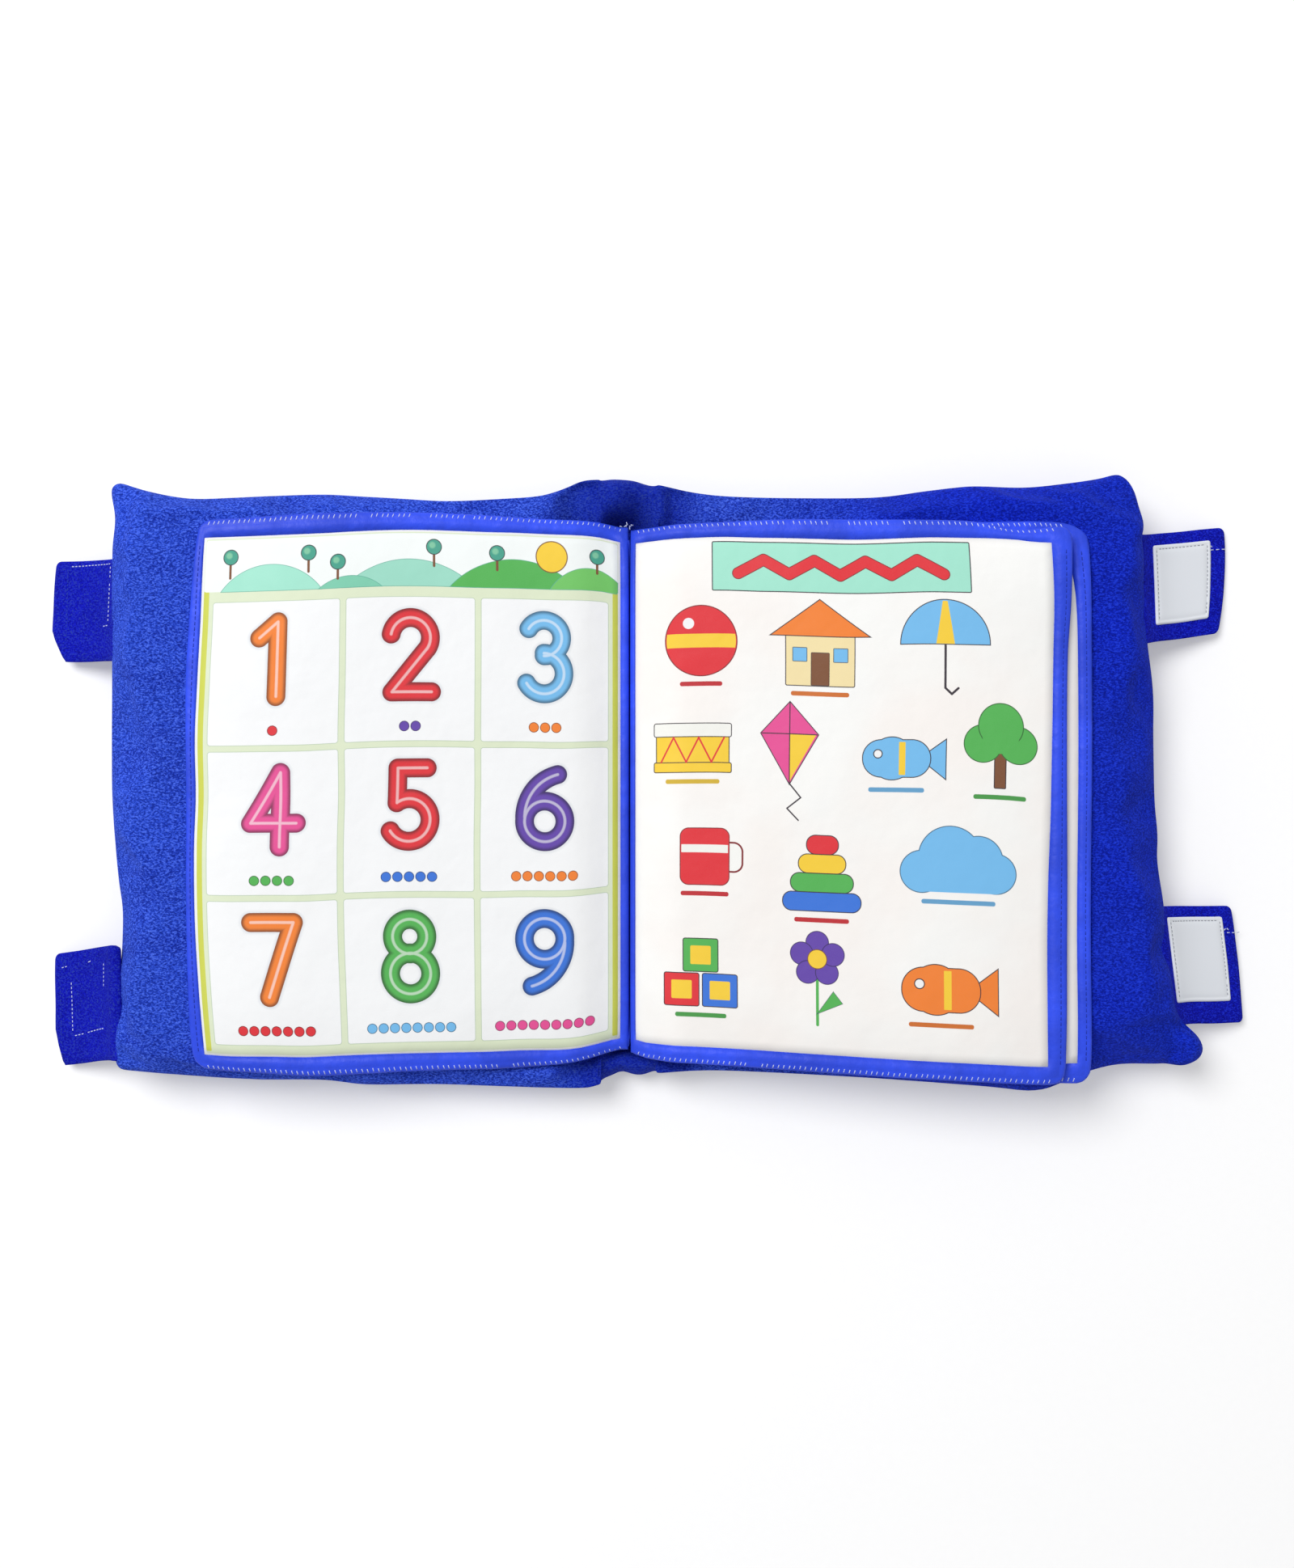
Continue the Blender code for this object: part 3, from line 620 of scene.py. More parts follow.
def paint_motif(page, kind, x, y, size, colour):
    """One plain toy picture with its middle at x and y; its parts are in shares of its size."""
    dark = deeper(colour, 0.3)

    def at(*points):
        return [(x + across * size, y + up * size) for across, up in points]

    def disc(across, up, radius):
        return page.disc(at((across, up))[0], radius * size)

    def box(across, up, half_across, half_up, corner):
        return page.box(at((across, up))[0], (half_across * size, half_up * size), corner)

    def outlined_boxes(*rows):
        for (across, up, half_across, half_up, corner), tint, width in rows:
            part = box(across, up, half_across, half_up, corner)
            page.outlined(part, tint, INK, width)

    if kind == "ball":
        page.outlined(page.disc((x, y), size), colour, dark, 0.5)
        band = page.both(page.disc((x, y), size - 0.3), box(0, 0, 1, 0.2, 0.2))
        page.paint(band, YELLOW)
        page.paint(disc(-0.35, 0.5, 0.16), (0.9, 0.9, 0.92))
    elif kind == "house":
        outlined_boxes(((0, -0.25, 0.7, 0.55, 0.5), (0.9, 0.75, 0.4), 0.45))
        page.outlined(page.shape(at((-1, 0.25), (1, 0.25), (0, 1))), colour)
        outlined_boxes(
            ((0, -0.45, 0.18, 0.34, 0.3), BROWN, 0.3),
            ((-0.42, -0.15, 0.14, 0.14, 0.2), SKY, 0.3),
            ((0.42, -0.15, 0.14, 0.14, 0.2), SKY, 0.3),
        )
    elif kind == "tree":
        outlined_boxes(((0, -0.6, 0.12, 0.4, 0.3), BROWN, 0.45))
        for across, up, radius in ((-0.4, 0, 0.42), (0.4, 0, 0.42), (0, 0.42, 0.5)):
            page.outlined(disc(across, up, radius), colour, dark)
        page.paint(disc(0, 0.2, 0.42), colour)
    elif kind == "cup":
        page.outlined(box(0.62, 0, 0.3, 0.34, size * 0.2), (0.93, 0.93, 0.9), dark, 0.9)
        page.outlined(box(0, 0, 0.6, 0.7, size * 0.2), colour, dark)
        page.paint(box(0, 0.2, 0.58, 0.1, 0.2), (0.9, 0.9, 0.85))
    elif kind == "kite":
        tail = at((0, -0.9), (0.25, -1.2), (-0.05, -1.45), (0.2, -1.7))
        page.paint(page.stroke(tail, 0.35), INK)
        page.outlined(page.shape(at((0, -0.9), (0.62, 0.2), (0, 0.9), (-0.62, 0.2))), colour)
        page.paint(page.shape(at((0, -0.86), (0.58, 0.2), (0, 0.2))), YELLOW)
        page.paint(page.stroke(at((0, -0.9), (0, 0.9)), 0.25), INK)
        page.paint(page.stroke(at((-0.6, 0.2), (0.6, 0.2)), 0.25), INK)
    elif kind == "drum":
        outlined_boxes(
            ((0, 0, 0.8, 0.5, 1), colour, 0.45),
            ((0, 0.42, 0.85, 0.14, 0.8), (0.9, 0.9, 0.85), 0.45),
            ((0, -0.42, 0.85, 0.1, 0.6), YELLOW, 0.45),
        )
        laces = at((-0.7, -0.3), (-0.42, 0.25), (-0.14, -0.3), (0.14, 0.25), (0.42, -0.3),
                   (0.7, 0.25))
        page.paint(page.stroke(laces, 0.4), RED if colour == YELLOW else YELLOW)
    elif kind == "fish":
        page.outlined(page.shape(at((0.5, 0), (1.05, -0.42), (1.05, 0.42))), colour)
        body = page.either(box(0, 0, 0.72, 0.4, size * 0.39), disc(-0.1, 0, 0.46))
        page.outlined(body, colour)
        page.paint(box(0.12, 0, 0.07, 0.36, 0.3), YELLOW)
        page.outlined(disc(-0.4, 0.1, 0.08), (0.9, 0.9, 0.9), INK, 0.5)
    elif kind == "flower":
        page.paint(page.stroke(at((0, -1), (0, 0.2)), 0.7), GREEN)
        page.outlined(page.shape(at((0, -0.75), (0.55, -0.5), (0.35, -0.25))), GREEN, dark, 0.2)
        for turn in range(5):
            angle = math.radians(90 + 72 * turn)
            petal = disc(0.36 * math.cos(angle), 0.45 + 0.36 * math.sin(angle), 0.24)
            page.outlined(petal, colour, dark, 0.4)
        page.outlined(disc(0, 0.45, 0.2), YELLOW, BROWN, 0.4)
    elif kind == "blocks":
        for across, up, tint in ((-0.45, -0.4, RED), (0.45, -0.4, BLUE), (0, 0.42, colour)):
            page.outlined(box(across, up, 0.4, 0.38, 0.8), tint)
            page.paint(box(across, up, 0.24, 0.22, 0.6), YELLOW)
    elif kind == "cloud":
        puffs = ((-0.6, -0.1, 0.34), (0.6, -0.1, 0.32), (-0.15, 0.15, 0.5), (0.3, 0.1, 0.4))
        for edge, tint in ((0.45, dark), (0.0, colour)):
            for puff in puffs:
                page.paint(disc(*puff), tint, edge)
        page.paint(box(0, -0.25, 0.75, 0.18, size * 0.15), colour)
    elif kind == "stack":
        for level, tint in enumerate((BLUE, GREEN, YELLOW, colour)):
            ring = box(0, 0.42 * level - 0.7, 0.85 - 0.17 * level, 0.2, size * 0.19)
            page.outlined(ring, tint)
    elif kind == "umbrella":
        page.paint(page.stroke(at((0, 0), (0, -0.95), (0.14, -1.08), (0.28, -0.95)), 0.55), INK)
        page.outlined(page.both(disc(0, 0, 0.95), box(0, 0.5, 1, 0.5, 0.2)), colour)
        rib = page.shape(at((-0.2, 0), (0.2, 0), (0.05, 0.95), (-0.05, 0.95)))
        page.paint(page.both(disc(0, 0, 0.93), rib), YELLOW)


# Plain toy shapes, as (kind, x, y, size, colour) in millimetres on the print.
MOTIF_SCALE = 1.2
BAR_PLACES = {"ball": 1, "house": 0.8, "fish": 0.5, "cup": 0.72, "blocks": 0.8, "stack": 0.92,
              "cloud": 0.45, "drum": 0.55, "tree": 1.02}
FRONT_MOTIFS = (
    ("ball", 32, 196, 14, RED), ("house", 88, 194, 19, ORANGE), ("umbrella", 146, 196, 18, SKY),
    ("tree", 172, 150, 17, GREEN), ("drum", 28, 144, 18, YELLOW), ("kite", 74, 148, 18, PINK),
    ("fish", 124, 142, 18, SKY), ("cup", 34, 92, 16, RED), ("stack", 90, 88, 18, RED),
    ("cloud", 154, 92, 24, SKY), ("blocks", 32, 36, 17, GREEN), ("flower", 88, 36, 18, VIOLET),
    ("fish", 146, 34, 21, ORANGE),
)
UNDER_MOTIFS = (
    ("cloud", 40, 190, 22, SKY), ("tree", 100, 188, 19, GREEN), ("kite", 160, 194, 20, RED),
    ("house", 40, 128, 21, RED), ("stack", 104, 126, 20, PINK), ("ball", 164, 126, 15, BLUE),
    ("drum", 40, 62, 19, RED), ("flower", 102, 60, 20, PINK), ("cup", 162, 62, 17, ORANGE),
)
BACK_MOTIFS = (
    ("flower", 36, 196, 19, RED), ("flower", 98, 196, 19, YELLOW), ("flower", 160, 196, 19, SKY),
    ("tree", 66, 132, 20, GREEN), ("tree", 132, 132, 20, (0.05, 0.35, 0.25)),
    ("ball", 36, 66, 14, ORANGE), ("ball", 98, 66, 14, BLUE), ("ball", 160, 66, 14, PINK),
)


# Mesh tools.


def piece_from(name, form, finish_name):
    """Turns a bmesh into a finished object at the origin."""
    mesh = bpy.data.meshes.new(name)
    form.to_mesh(mesh)
    form.free()
    mesh.shade_smooth()
    piece = bpy.data.objects.new(name, mesh)
    bpy.context.scene.collection.objects.link(piece)
    mesh.materials.append(finish(finish_name))
    return piece


def lines_between(stops, step):
    """Grid lines through the stops, with even cells of about a step between them."""
    lines = []
    for low, high in zip(stops, stops[1:]):
        count = max(1, round((high - low) / step))
        lines += [blend(low, high, i / count) for i in range(count)]
    return lines + [stops[-1]]


def even_lines(count):
    return [2 * i / count - 1 for i in range(count + 1)]


def edged(low, high, gaps, *between):
    """Stops from one edge to the other that lie close together along both edges."""
    return (*[low + gap for gap in gaps], *between, *[high - gap for gap in reversed(gaps)])


def put_in_order(form):
    """Sorts edges and faces by their vertices, because an extrusion leaves them in any order."""
    form.verts.index_update()
    count = len(form.verts)

    def rank(item):
        corners = [vertex.index for vertex in item.verts]
        return min(corners) * count + max(corners)

    for items in (form.edges, form.faces):
        items.sort(key=rank)
        items.index_update()


def padded_grid(across_lines, along_lines, surface, hole=None):
    """A closed padded form on a grid, its surface given over it (way 1) and under it (-1)."""
    form = bmesh.new()
    cut = form.verts.layers.float_vector.new("cut")
    columns, rows = len(across_lines) - 1, len(along_lines) - 1
    bmesh.ops.create_grid(form, x_segments=columns, y_segments=rows, size=1)
    for vertex in form.verts:
        vertex.co.x = across_lines[round((vertex.co.x + 1) / 2 * columns)]
        vertex.co.y = along_lines[round((vertex.co.y + 1) / 2 * rows)]
    if hole:
        inside = []
        for face in form.faces:
            x, y = face.calc_center_median().xy
            if hole[0] < x < hole[1] and hole[2] < y < hole[3]:
                inside.append(face)
        bmesh.ops.delete(form, geom=inside, context="FACES")
    lower = list(form.verts)
    made = bmesh.ops.extrude_face_region(form, geom=form.faces[:])
    upper = [item for item in made["geom"] if isinstance(item, bmesh.types.BMVert)]
    for vertices, way in ((lower, -1), (upper, 1)):
        for vertex in vertices:
            spot = vertex.co.copy()
            vertex[cut] = spot / MM
            vertex.co = surface(spot.x, spot.y, way)
    put_in_order(form)
    bmesh.ops.recalc_face_normals(form, faces=form.faces)
    if form.calc_volume(signed=True) < 0:
        bmesh.ops.reverse_faces(form, faces=form.faces)
    return form


def round_corner(x, y, low, high, radius):
    """Moves a grid point near a corner of a rectangle so that the corner comes out round."""
    shares = []
    for axis, value in enumerate((x, y)):
        near_low = low[axis] + radius - value
        near_high = value - (high[axis] - radius)
        shares.append((-near_low if near_low > 0 else max(near_high, 0)) / radius)
    a, b = shares
    if not a or not b:
        return x, y
    result = []
    for axis, (own, other) in enumerate(((a, b), (b, a))):
        centre = low[axis] + radius if own < 0 else high[axis] - radius
        result.append(centre + radius * own * math.sqrt(1 - other * other / 2))
    return result


def soften(piece):
    """Finishes a piece with one live round of subdivision."""
    soft = piece.modifiers.new("Soft form", "SUBSURF")
    soft.levels = soft.render_levels = 1


def add_threads(form, places, width):
    """Adds one short thread for each pair of points, given with the way out of the cloth."""
    for start, end, out in places:
        run = end - start
        made = bmesh.ops.create_cone(
            form, cap_ends=True, segments=6, radius1=width / 2, radius2=width / 2,
            depth=run.length,
        )
        side = run.cross(out).normalized()
        turn = Matrix((side, side.cross(run.normalized()), run.normalized())).transposed()
        middle = Matrix.Translation((start + end) / 2)
        bmesh.ops.transform(form, matrix=middle @ turn.to_4x4(), verts=made["verts"])


# Leaves.

LEAF_HIGH = 262 * MM
LEAF_CORNER = 7 * MM
SHEET_STEP = 5 * MM

# A leaf's grid has even borders this wide, and Leaf.hemmed gives them their sewn widths.
GRID_HEM = 8 * MM

# The row of stitches inside a leaf's edge.
STITCH_INSET = 2.6 * MM

# Heights from a leaf's middle in millimetres: of the wadding and of the prints' backs.
WADDING_LEVEL = 0.85
PRINT_BACK_LEVEL = 0.9


class Leaf:
    """One leaf: its plane, its drawn outline and how it lies on its bed.

    It reaches out from the gutter on its side, and its print fills the window. The sag is
    its share of the common droop, the dip is how deep it runs into the gutter, and the nose
    is how far its root turns down there.
    """

    def __init__(self, name, side, reach, window, edges, hems, bed, sag, dip, nose):
        joint = JOINTS[name + "_turn"]
        self.name = name
        self.side = side
        self.root, self.length = reach
        self.window = (*window, GRID_HEM, LEAF_HIGH - GRID_HEM)
        self.head, self.foot, self.fore = edges
        self.head_hem, self.foot_hem, self.fore_hem = hems
        self.bed = bed
        self.sag = sag
        self.dip = dip
        self.nose = nose
        self.pivot = Vector((joint["pos_m"][0], LEVEL, joint["pos_m"][2]))
        self.from_gutter = abs(self.pivot.x - GUTTER)
        self.across = Vector((side * math.cos(PAGE_TILT), 0, math.sin(PAGE_TILT)))
        self.up = Vector((-side * math.sin(PAGE_TILT), 0, math.cos(PAGE_TILT)))

    def print_size(self):
        left, right, low, high = self.window
        return (right - left) / MM, (high - low) / MM

    def drop(self, u, v):
        """How far the leaf hangs below its plane, at a reach and a share of its height."""
        from_gutter = u + self.from_gutter
        gutter = self.dip * (1 - smooth((from_gutter - 3.8 * MM) / 0.024)) ** 1.3
        gutter += self.nose * (1 - smooth(from_gutter / 0.005))
        fore = 5.0 * MM * clamp((from_gutter - 0.153) / 0.055) ** 2
        head = 4.0 * MM * clamp((v - 0.86) / 0.14) ** 2
        foot = 4.0 * MM * clamp((0.14 - v) / 0.14) ** 2
        seed = 1 if self.side < 0 else 2
        wave = 0.9 * MM * (ripple(from_gutter, v * LEAF_HIGH, 0.055, seed) + 0.6)
        return gutter + self.sag * (fore + head + foot + wave * smooth(from_gutter / 0.03))

    def curl(self, u, v):
        """The top leaf's free head corner curls up a little."""
        if self.nose == 0:
            return 0
        return 3.6 * MM * smooth((u - 0.165) / 0.04) * smooth((v - 0.8) / 0.2)

    def hemmed(self, u, v):
        """Reach and Y of a grid point, with the borders as wide as they are sewn there."""
        left, right, low, high = self.window
        hem = along(self.fore_hem, v / LEAF_HIGH) * MM
        if u > right:
            u = self.length - hem * (self.length - u) / (self.length - right)
        elif u > left:
            u = blend(left, self.length - hem, (u - left) / (right - left))
        foot, head = along(self.foot, u), along(self.head, u)
        foot_hem, head_hem = along(self.foot_hem, u) * MM, along(self.head_hem, u) * MM
        if v > high:
            return u, head - head_hem * (LEAF_HIGH - v) / (LEAF_HIGH - high)
        if v < low:
            return u, foot + foot_hem * v / low
        return u, blend(foot + foot_hem, head - head_hem, (v - low) / (high - low))

    def spot(self, u, v, height):
        """The point at a grid place, lifted off the leaf's middle."""
        low = (self.root - LEAF_HIGH, 0)
        u, v = round_corner(u, v, low, (self.length, LEAF_HIGH), LEAF_CORNER)
        u, y = self.hemmed(u, v)
        share = v / LEAF_HIGH
        free = smooth(u / 0.03)
        y += 0.4 * MM * ripple(u, v + 5, 0.05, 4) * free
        reach = u + along(self.fore, share) * clamp(u / self.length) ** 3
        reach += 0.4 * MM * ripple(u + 3, v, 0.06, 3) * free
        flat = self.pivot + self.across * reach + Vector((0, y, 0))
        return flat + self.up * (height - self.drop(u, share) + self.curl(u, share))

    def half(self, u, v):
        """Half the thickness of the border: thin at its edge, with a groove for the stitches."""
        full = bpy.context.scene.cushion_book_sizes.leaf_thickness / 2
        gap = min(self.length - u, v, LEAF_HIGH - v)
        half = full - 0.3 * MM * math.exp(-(((gap - STITCH_INSET) / (0.6 * MM)) ** 2))
        half += 0.07 * MM * ripple(u, v, 0.004, 9) * smooth(gap / (2 * MM))
        edge = min(gap / (1.8 * MM), (u - self.root) / MM)
        return blend(0.5 * MM, half, smooth(edge))

    def put(self, piece, slot_name, *nodes):
        """Hides the frame's parts that a piece of this leaf replaces, and bakes the piece's place
        into its mesh.
        """
        if nodes:
            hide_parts(*nodes)
        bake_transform(piece)
        return piece


def leaf_border(leaf):
    """The padded satin border round a leaf's window, with close grid lines at its edge."""
    left, right, low, high = leaf.window
    edge = (0, 0.8 * MM, 1.9 * MM, STITCH_INSET, 3.3 * MM)
    across_lines = lines_between(
        (leaf.root, leaf.root + 0.5 * MM, leaf.root + 1.2 * MM, left, right,
         *[leaf.length - gap for gap in reversed(edge)]), SHEET_STEP)
    along_lines = lines_between(edged(0, LEAF_HIGH, edge, low, high), SHEET_STEP)
    form = padded_grid(
        across_lines, along_lines,
        lambda u, v, way: leaf.spot(u, v, way * leaf.half(u, v)), leaf.window,
    )
    piece = piece_from(leaf.name + "_satin_border", form, "royal_satin")
    leaf.put(piece, "satin", leaf.name + "_border")


def leaf_layer(leaf, suffix, levels, finish_name):
    """One flat layer inside the border; its cut runs from the left as its side is read."""
    left, right, low, high = leaf.window
    tuck = 0.6 * MM
    across_lines = lines_between((left - tuck, right + tuck), SHEET_STEP)
    along_lines = lines_between((low - tuck, high + tuck), SHEET_STEP)
    form = padded_grid(
        across_lines, along_lines, lambda u, v, way: leaf.spot(u, v, levels[way > 0] * MM))
    cut = form.verts.layers.float_vector["cut"]
    mirrored = (leaf.side < 0) != ("back" in suffix)
    for vertex in form.verts:
        u = (right / MM - vertex[cut].x) if mirrored else (vertex[cut].x - left / MM)
        vertex[cut] = (u, vertex[cut].y - low / MM, 0)
    size = (across_lines[-1] - across_lines[0], along_lines[-1] - along_lines[0])
    return piece_from(leaf.name + suffix, form, finish_name), size


def leaf_stitches(leaf):
    """White overcast stitches on head and foot, and a run of blue ones on the fore-edge."""
    sizes = bpy.context.scene.cushion_book_sizes
    white, blue = bmesh.new(), bmesh.new()
    for face in (1, -1):
        overcast, running = [], []
        count = int((leaf.length - leaf.root - 7 * MM) / sizes.stitch_pitch)
        for row, (base, way) in enumerate(((LEAF_HIGH, -1), (0, 1))):
            for i in range(count):
                u = leaf.root + 4 * MM + sizes.stitch_pitch * i
                u += 0.5 * MM * ripple(i * 5.3, row * 17 + face, 3, 80)
                if ripple(i * 3.1, row * 17, 9, face) > 0.38:
                    continue
                points = []
                for slant, gap in ((-0.25, 0.85), (0.25, 0.85 + sizes.stitch_length / MM)):
                    v = base + way * (gap + 0.25 * ripple(i * 7.7, row, 3, 81)) * MM
                    height = face * (leaf.half(u, v) + 0.03 * MM)
                    points.append(leaf.spot(u + slant * MM, v, height))
                overcast.append((*points, leaf.up * face))
        for i in range(int((LEAF_HIGH - 18 * MM) / sizes.stitch_pitch)):
            v = 9 * MM + sizes.stitch_pitch * i
            height = face * (sizes.leaf_thickness / 2 - 0.3 * MM)
            points = [
                leaf.spot(leaf.length - STITCH_INSET, v + run, height)
                for run in (0.3 * MM, 1.9 * MM)
            ]
            running.append((*points, leaf.up * face))
        add_threads(white, overcast, 0.5 * MM)
        add_threads(blue, running, 0.5 * MM)
    leaf.put(piece_from(leaf.name + "_overcast_stitches", white, "white_thread"), "satin")
    leaf.put(piece_from(leaf.name + "_fore_edge_stitches", blue, "blue_thread"), "satin")


def add_leaf(leaf, front, back):
    """One padded leaf: satin border, wadding, a print on each side and its stitching."""
    sizes = bpy.context.scene.cushion_book_sizes
    leaf_border(leaf)
    outside = sizes.leaf_thickness / 2 / MM - 0.13
    front_print, size = leaf_layer(leaf, "_front_print", (PRINT_BACK_LEVEL, outside), front)
    wadding, _ = leaf_layer(
        leaf, "_wadding_layer", (-WADDING_LEVEL, WADDING_LEVEL), "white_wadding")
    back_print, _ = leaf_layer(leaf, "_back_print", (-outside, -PRINT_BACK_LEVEL), back)
    leaf.put(front_print, "printed_cotton", leaf.name + "_front_panel")
    leaf.put(wadding, "filling", leaf.name + "_wadding")
    leaf.put(back_print, "printed_cotton", leaf.name + "_back_panel")
    leaf_stitches(leaf)


LEAVES = {
    "left_leaf": Leaf(
        "left_leaf", -1, (-4.4 * MM, 0.2061), (-0.3 * MM, 0.2011),
        (LEFT_HEAD, LEFT_FOOT, LEFT_FORE), LEFT_HEMS, "spine", 1.0, 5.0 * MM, 0),
    "under_leaf": Leaf(
        "under_leaf", 1, (1.0 * MM, 0.2158), (4.5 * MM, 0.2092),
        (UNDER_HEAD, UNDER_FOOT, UNDER_FORE), UNDER_HEMS, "spine", 1.0, 6.4 * MM, 0),
    "turning_leaf": Leaf(
        "turning_leaf", 1, (0.2 * MM, 0.2069), (2.8 * MM, 0.1987),
        (TOP_HEAD, TOP_FOOT, TOP_FORE), TOP_HEMS, "under_leaf", 0.75, 6.3 * MM, 2.2 * MM),
}


# Covers.

# How far the leaves slide outwards over their cover when it folds shut, and how far a leaf's
# middle stays above the cushion.
LEAF_SLIDE = 18.7 * MM
LEAF_CLEARANCE = 2.3 * MM

# A cushion's rise above its fold, its back before the floor presses it flat, the depth of the
# folds at its seam, and its grid's cells across and along.
CROWN_RISE = 11.5 * MM
PRESSED_BACK = -1.5 * MM
PUCKER_DEPTH = 1.0 * MM
COVER_CELLS = (46, 54)

# The stuffing: how hard it pushes, for how many frames, and how far it may move the cloth.
STUFFING_PRESSURE = 4
STUFFING_FRAMES = 20
STUFFING_LIMIT = 9 * MM


def bent(share):
    """Moves even grid lines closer together near the edges."""
    return 0.45 * share + 0.55 * math.sin(math.pi / 2 * share)


class Cover:
    """One stuffed cover between its leaf and the floor."""

    def __init__(self, name, side, edges, leaves, ear=None):
        self.name = name
        self.side = side
        self.head, self.foot, self.fore = edges
        self.leaves = [LEAVES[leaf] for leaf in leaves]
        self.ear = ear

    def plan(self, a, b):
        """X and Y at shares from -1 to 1 of the way over the cover and up it."""
        a, b = round_corner(a, b, (-9, -1), (1, 1), 0.03)
        across, up = (a + 1) / 2, (b + 1) / 2
        low_y, high_y = self.fore[0][0], self.fore[-1][0]
        start = FOLD_REACH - 0.7 * MM
        reach = blend(start, along(self.fore, blend(low_y, high_y, up)), across)
        head_y = along(self.head, blend(start, along(self.fore, high_y), across))
        foot_y = along(self.foot, blend(start, along(self.fore, low_y), across))
        return GUTTER + self.side * reach, LEVEL + blend(foot_y, head_y, up)

    def ceiling(self, x, y):
        """The height that the cover may reach at a spot, below its leaves, open and shut."""
        room = self.room_under(self.leaves[0], x, y, 0)
        for leaf in self.leaves:
            room = min(room, self.room_under(leaf, x, y, LEAF_SLIDE))
        return room

    def room_under(self, leaf, x, y, slide):
        """The height under one leaf that has slid outwards over the cover."""
        whole = (x - leaf.pivot.x) * self.side / math.cos(PAGE_TILT)
        if whole - slide < leaf.root - 3 * MM and slide:
            return 1  # the slid leaf doesn't reach back to this spot
        inside = clamp(whole - slide, 0, leaf.length)
        foot, head = along(leaf.foot, inside), along(leaf.head, inside)
        share = clamp((y - LEVEL - foot) / (head - foot))
        beyond = max(y - LEVEL - head, foot - y + LEVEL, 0)
        rise = 1.5 * MM * smooth(beyond / 0.008)
        low = leaf.drop(inside, share) + LEAF_CLEARANCE - rise
        if slide:
            low += 3.0 * MM * (1 - smooth((inside - 5 * MM) / (8 * MM)))
        return leaf.pivot.z + whole * math.sin(PAGE_TILT) - low / math.cos(PAGE_TILT)

    def seam(self, a):
        """The height of the seam at a share from -1 at the fold to 1 at the fore-edge."""
        return blend(FOLD_HEIGHT, SEAM_LEVEL, (a + 1) / 2)

    def pucker(self, a, b, x, y, seed):
        """Small folds that run out of the seam."""
        rim_a, rim_b = smooth((abs(a) - 0.7) / 0.3), smooth((abs(b) - 0.76) / 0.24)
        folds = rim_a * ripple(y, x / 5, 0.014, seed) + rim_b * ripple(x, y / 5, 0.014, seed + 1)
        return folds + 0.4 * ripple(x, y, 0.05, seed + 2)

    def ledge(self, x, y):
        """How much lower the ear is that sticks out from under the cushion's corner."""
        if not self.ear:
            return 0
        (x0, y0), (x1, y1), depth = self.ear
        run = Vector((x1 - x0, y1 - y0))
        spot = Vector((x - GUTTER - x0, y - LEVEL - y0))
        share = spot.dot(run) / run.length_squared
        beyond = spot.cross(run) / run.length
        fade = smooth((share + 0.25) / 0.3) * smooth((1.6 - share) / 0.3)
        notch = 0.45 * math.exp(-(((beyond - 0.6 * MM) / (1.5 * MM)) ** 2))
        return depth * fade * (0.75 * smooth((beyond + 1.2 * MM) / (2.2 * MM)) + notch)

    def face(self, s, t, way):
        """A spot on the inner face (way 1) or the outer one (way -1)."""
        a, b = bent(s), bent(t)
        x, y = self.plan(a, b)
        power = 5 if way > 0 else 6
        crown = math.sqrt((1 - abs(a) ** power) * (1 - abs(b) ** power))
        welt = bpy.context.scene.cushion_book_sizes.seam_welt / 2
        drop = self.ledge(x, y)
        start = self.seam(a) + way * welt - drop
        full = PRESSED_BACK
        if way > 0:
            along_leaf = (abs(x - GUTTER) - FOLD_REACH) * math.tan(PAGE_TILT)
            full = FOLD_HEIGHT + CROWN_RISE + along_leaf
        z = blend(start, full - drop * (way > 0), crown)
        z += way * PUCKER_DEPTH * self.pucker(a, b, x, y, 20 * way) * min(1, crown * 2)
        return self.held(Vector((x, y, z)), way) if crown > 0 else Vector((x, y, start))

    def held(self, spot, way):
        """A spot kept off the floor and under the leaf."""
        if way > 0:
            spot.z = min(spot.z, self.ceiling(spot.x, spot.y))
        spot.z = max(spot.z, 0)
        return spot


def stuff(piece, seam_spots):
    """Blows the cloth up with the Cloth simulation, its seam held, and keeps the result."""
    group = piece.vertex_groups.new(name="seam")
    group.add(seam_spots, 1.0, "REPLACE")
    stuffing = piece.modifiers.new("Stuffing", "CLOTH")
    settings = stuffing.settings
    settings.quality = 5
    settings.use_pressure = True
    settings.uniform_pressure_force = STUFFING_PRESSURE
    settings.shrink_min = -0.05
    settings.bending_stiffness = 0.25
    settings.vertex_group_mass = group.name
    settings.effector_weights.gravity = 0
    stuffing.collision_settings.use_collision = False
    stuffing.point_cache.frame_end = STUFFING_FRAMES
    scene = bpy.context.scene
    for moment in range(1, STUFFING_FRAMES + 1):
        scene.frame_set(moment)
    stuffed = piece.evaluated_get(bpy.context.evaluated_depsgraph_get())
    if len(stuffed.data.vertices) != len(piece.data.vertices):
        raise RuntimeError(piece.name + ": the stuffing changed the mesh")
    spots = [vertex.co.copy() for vertex in stuffed.data.vertices]
    piece.modifiers.remove(stuffing)
    piece.vertex_groups.remove(group)
    scene.frame_set(1)
    for vertex, spot in zip(piece.data.vertices, spots):
        move = spot - vertex.co
        if move.length > STUFFING_LIMIT:
            move *= STUFFING_LIMIT / move.length
        vertex.co += move


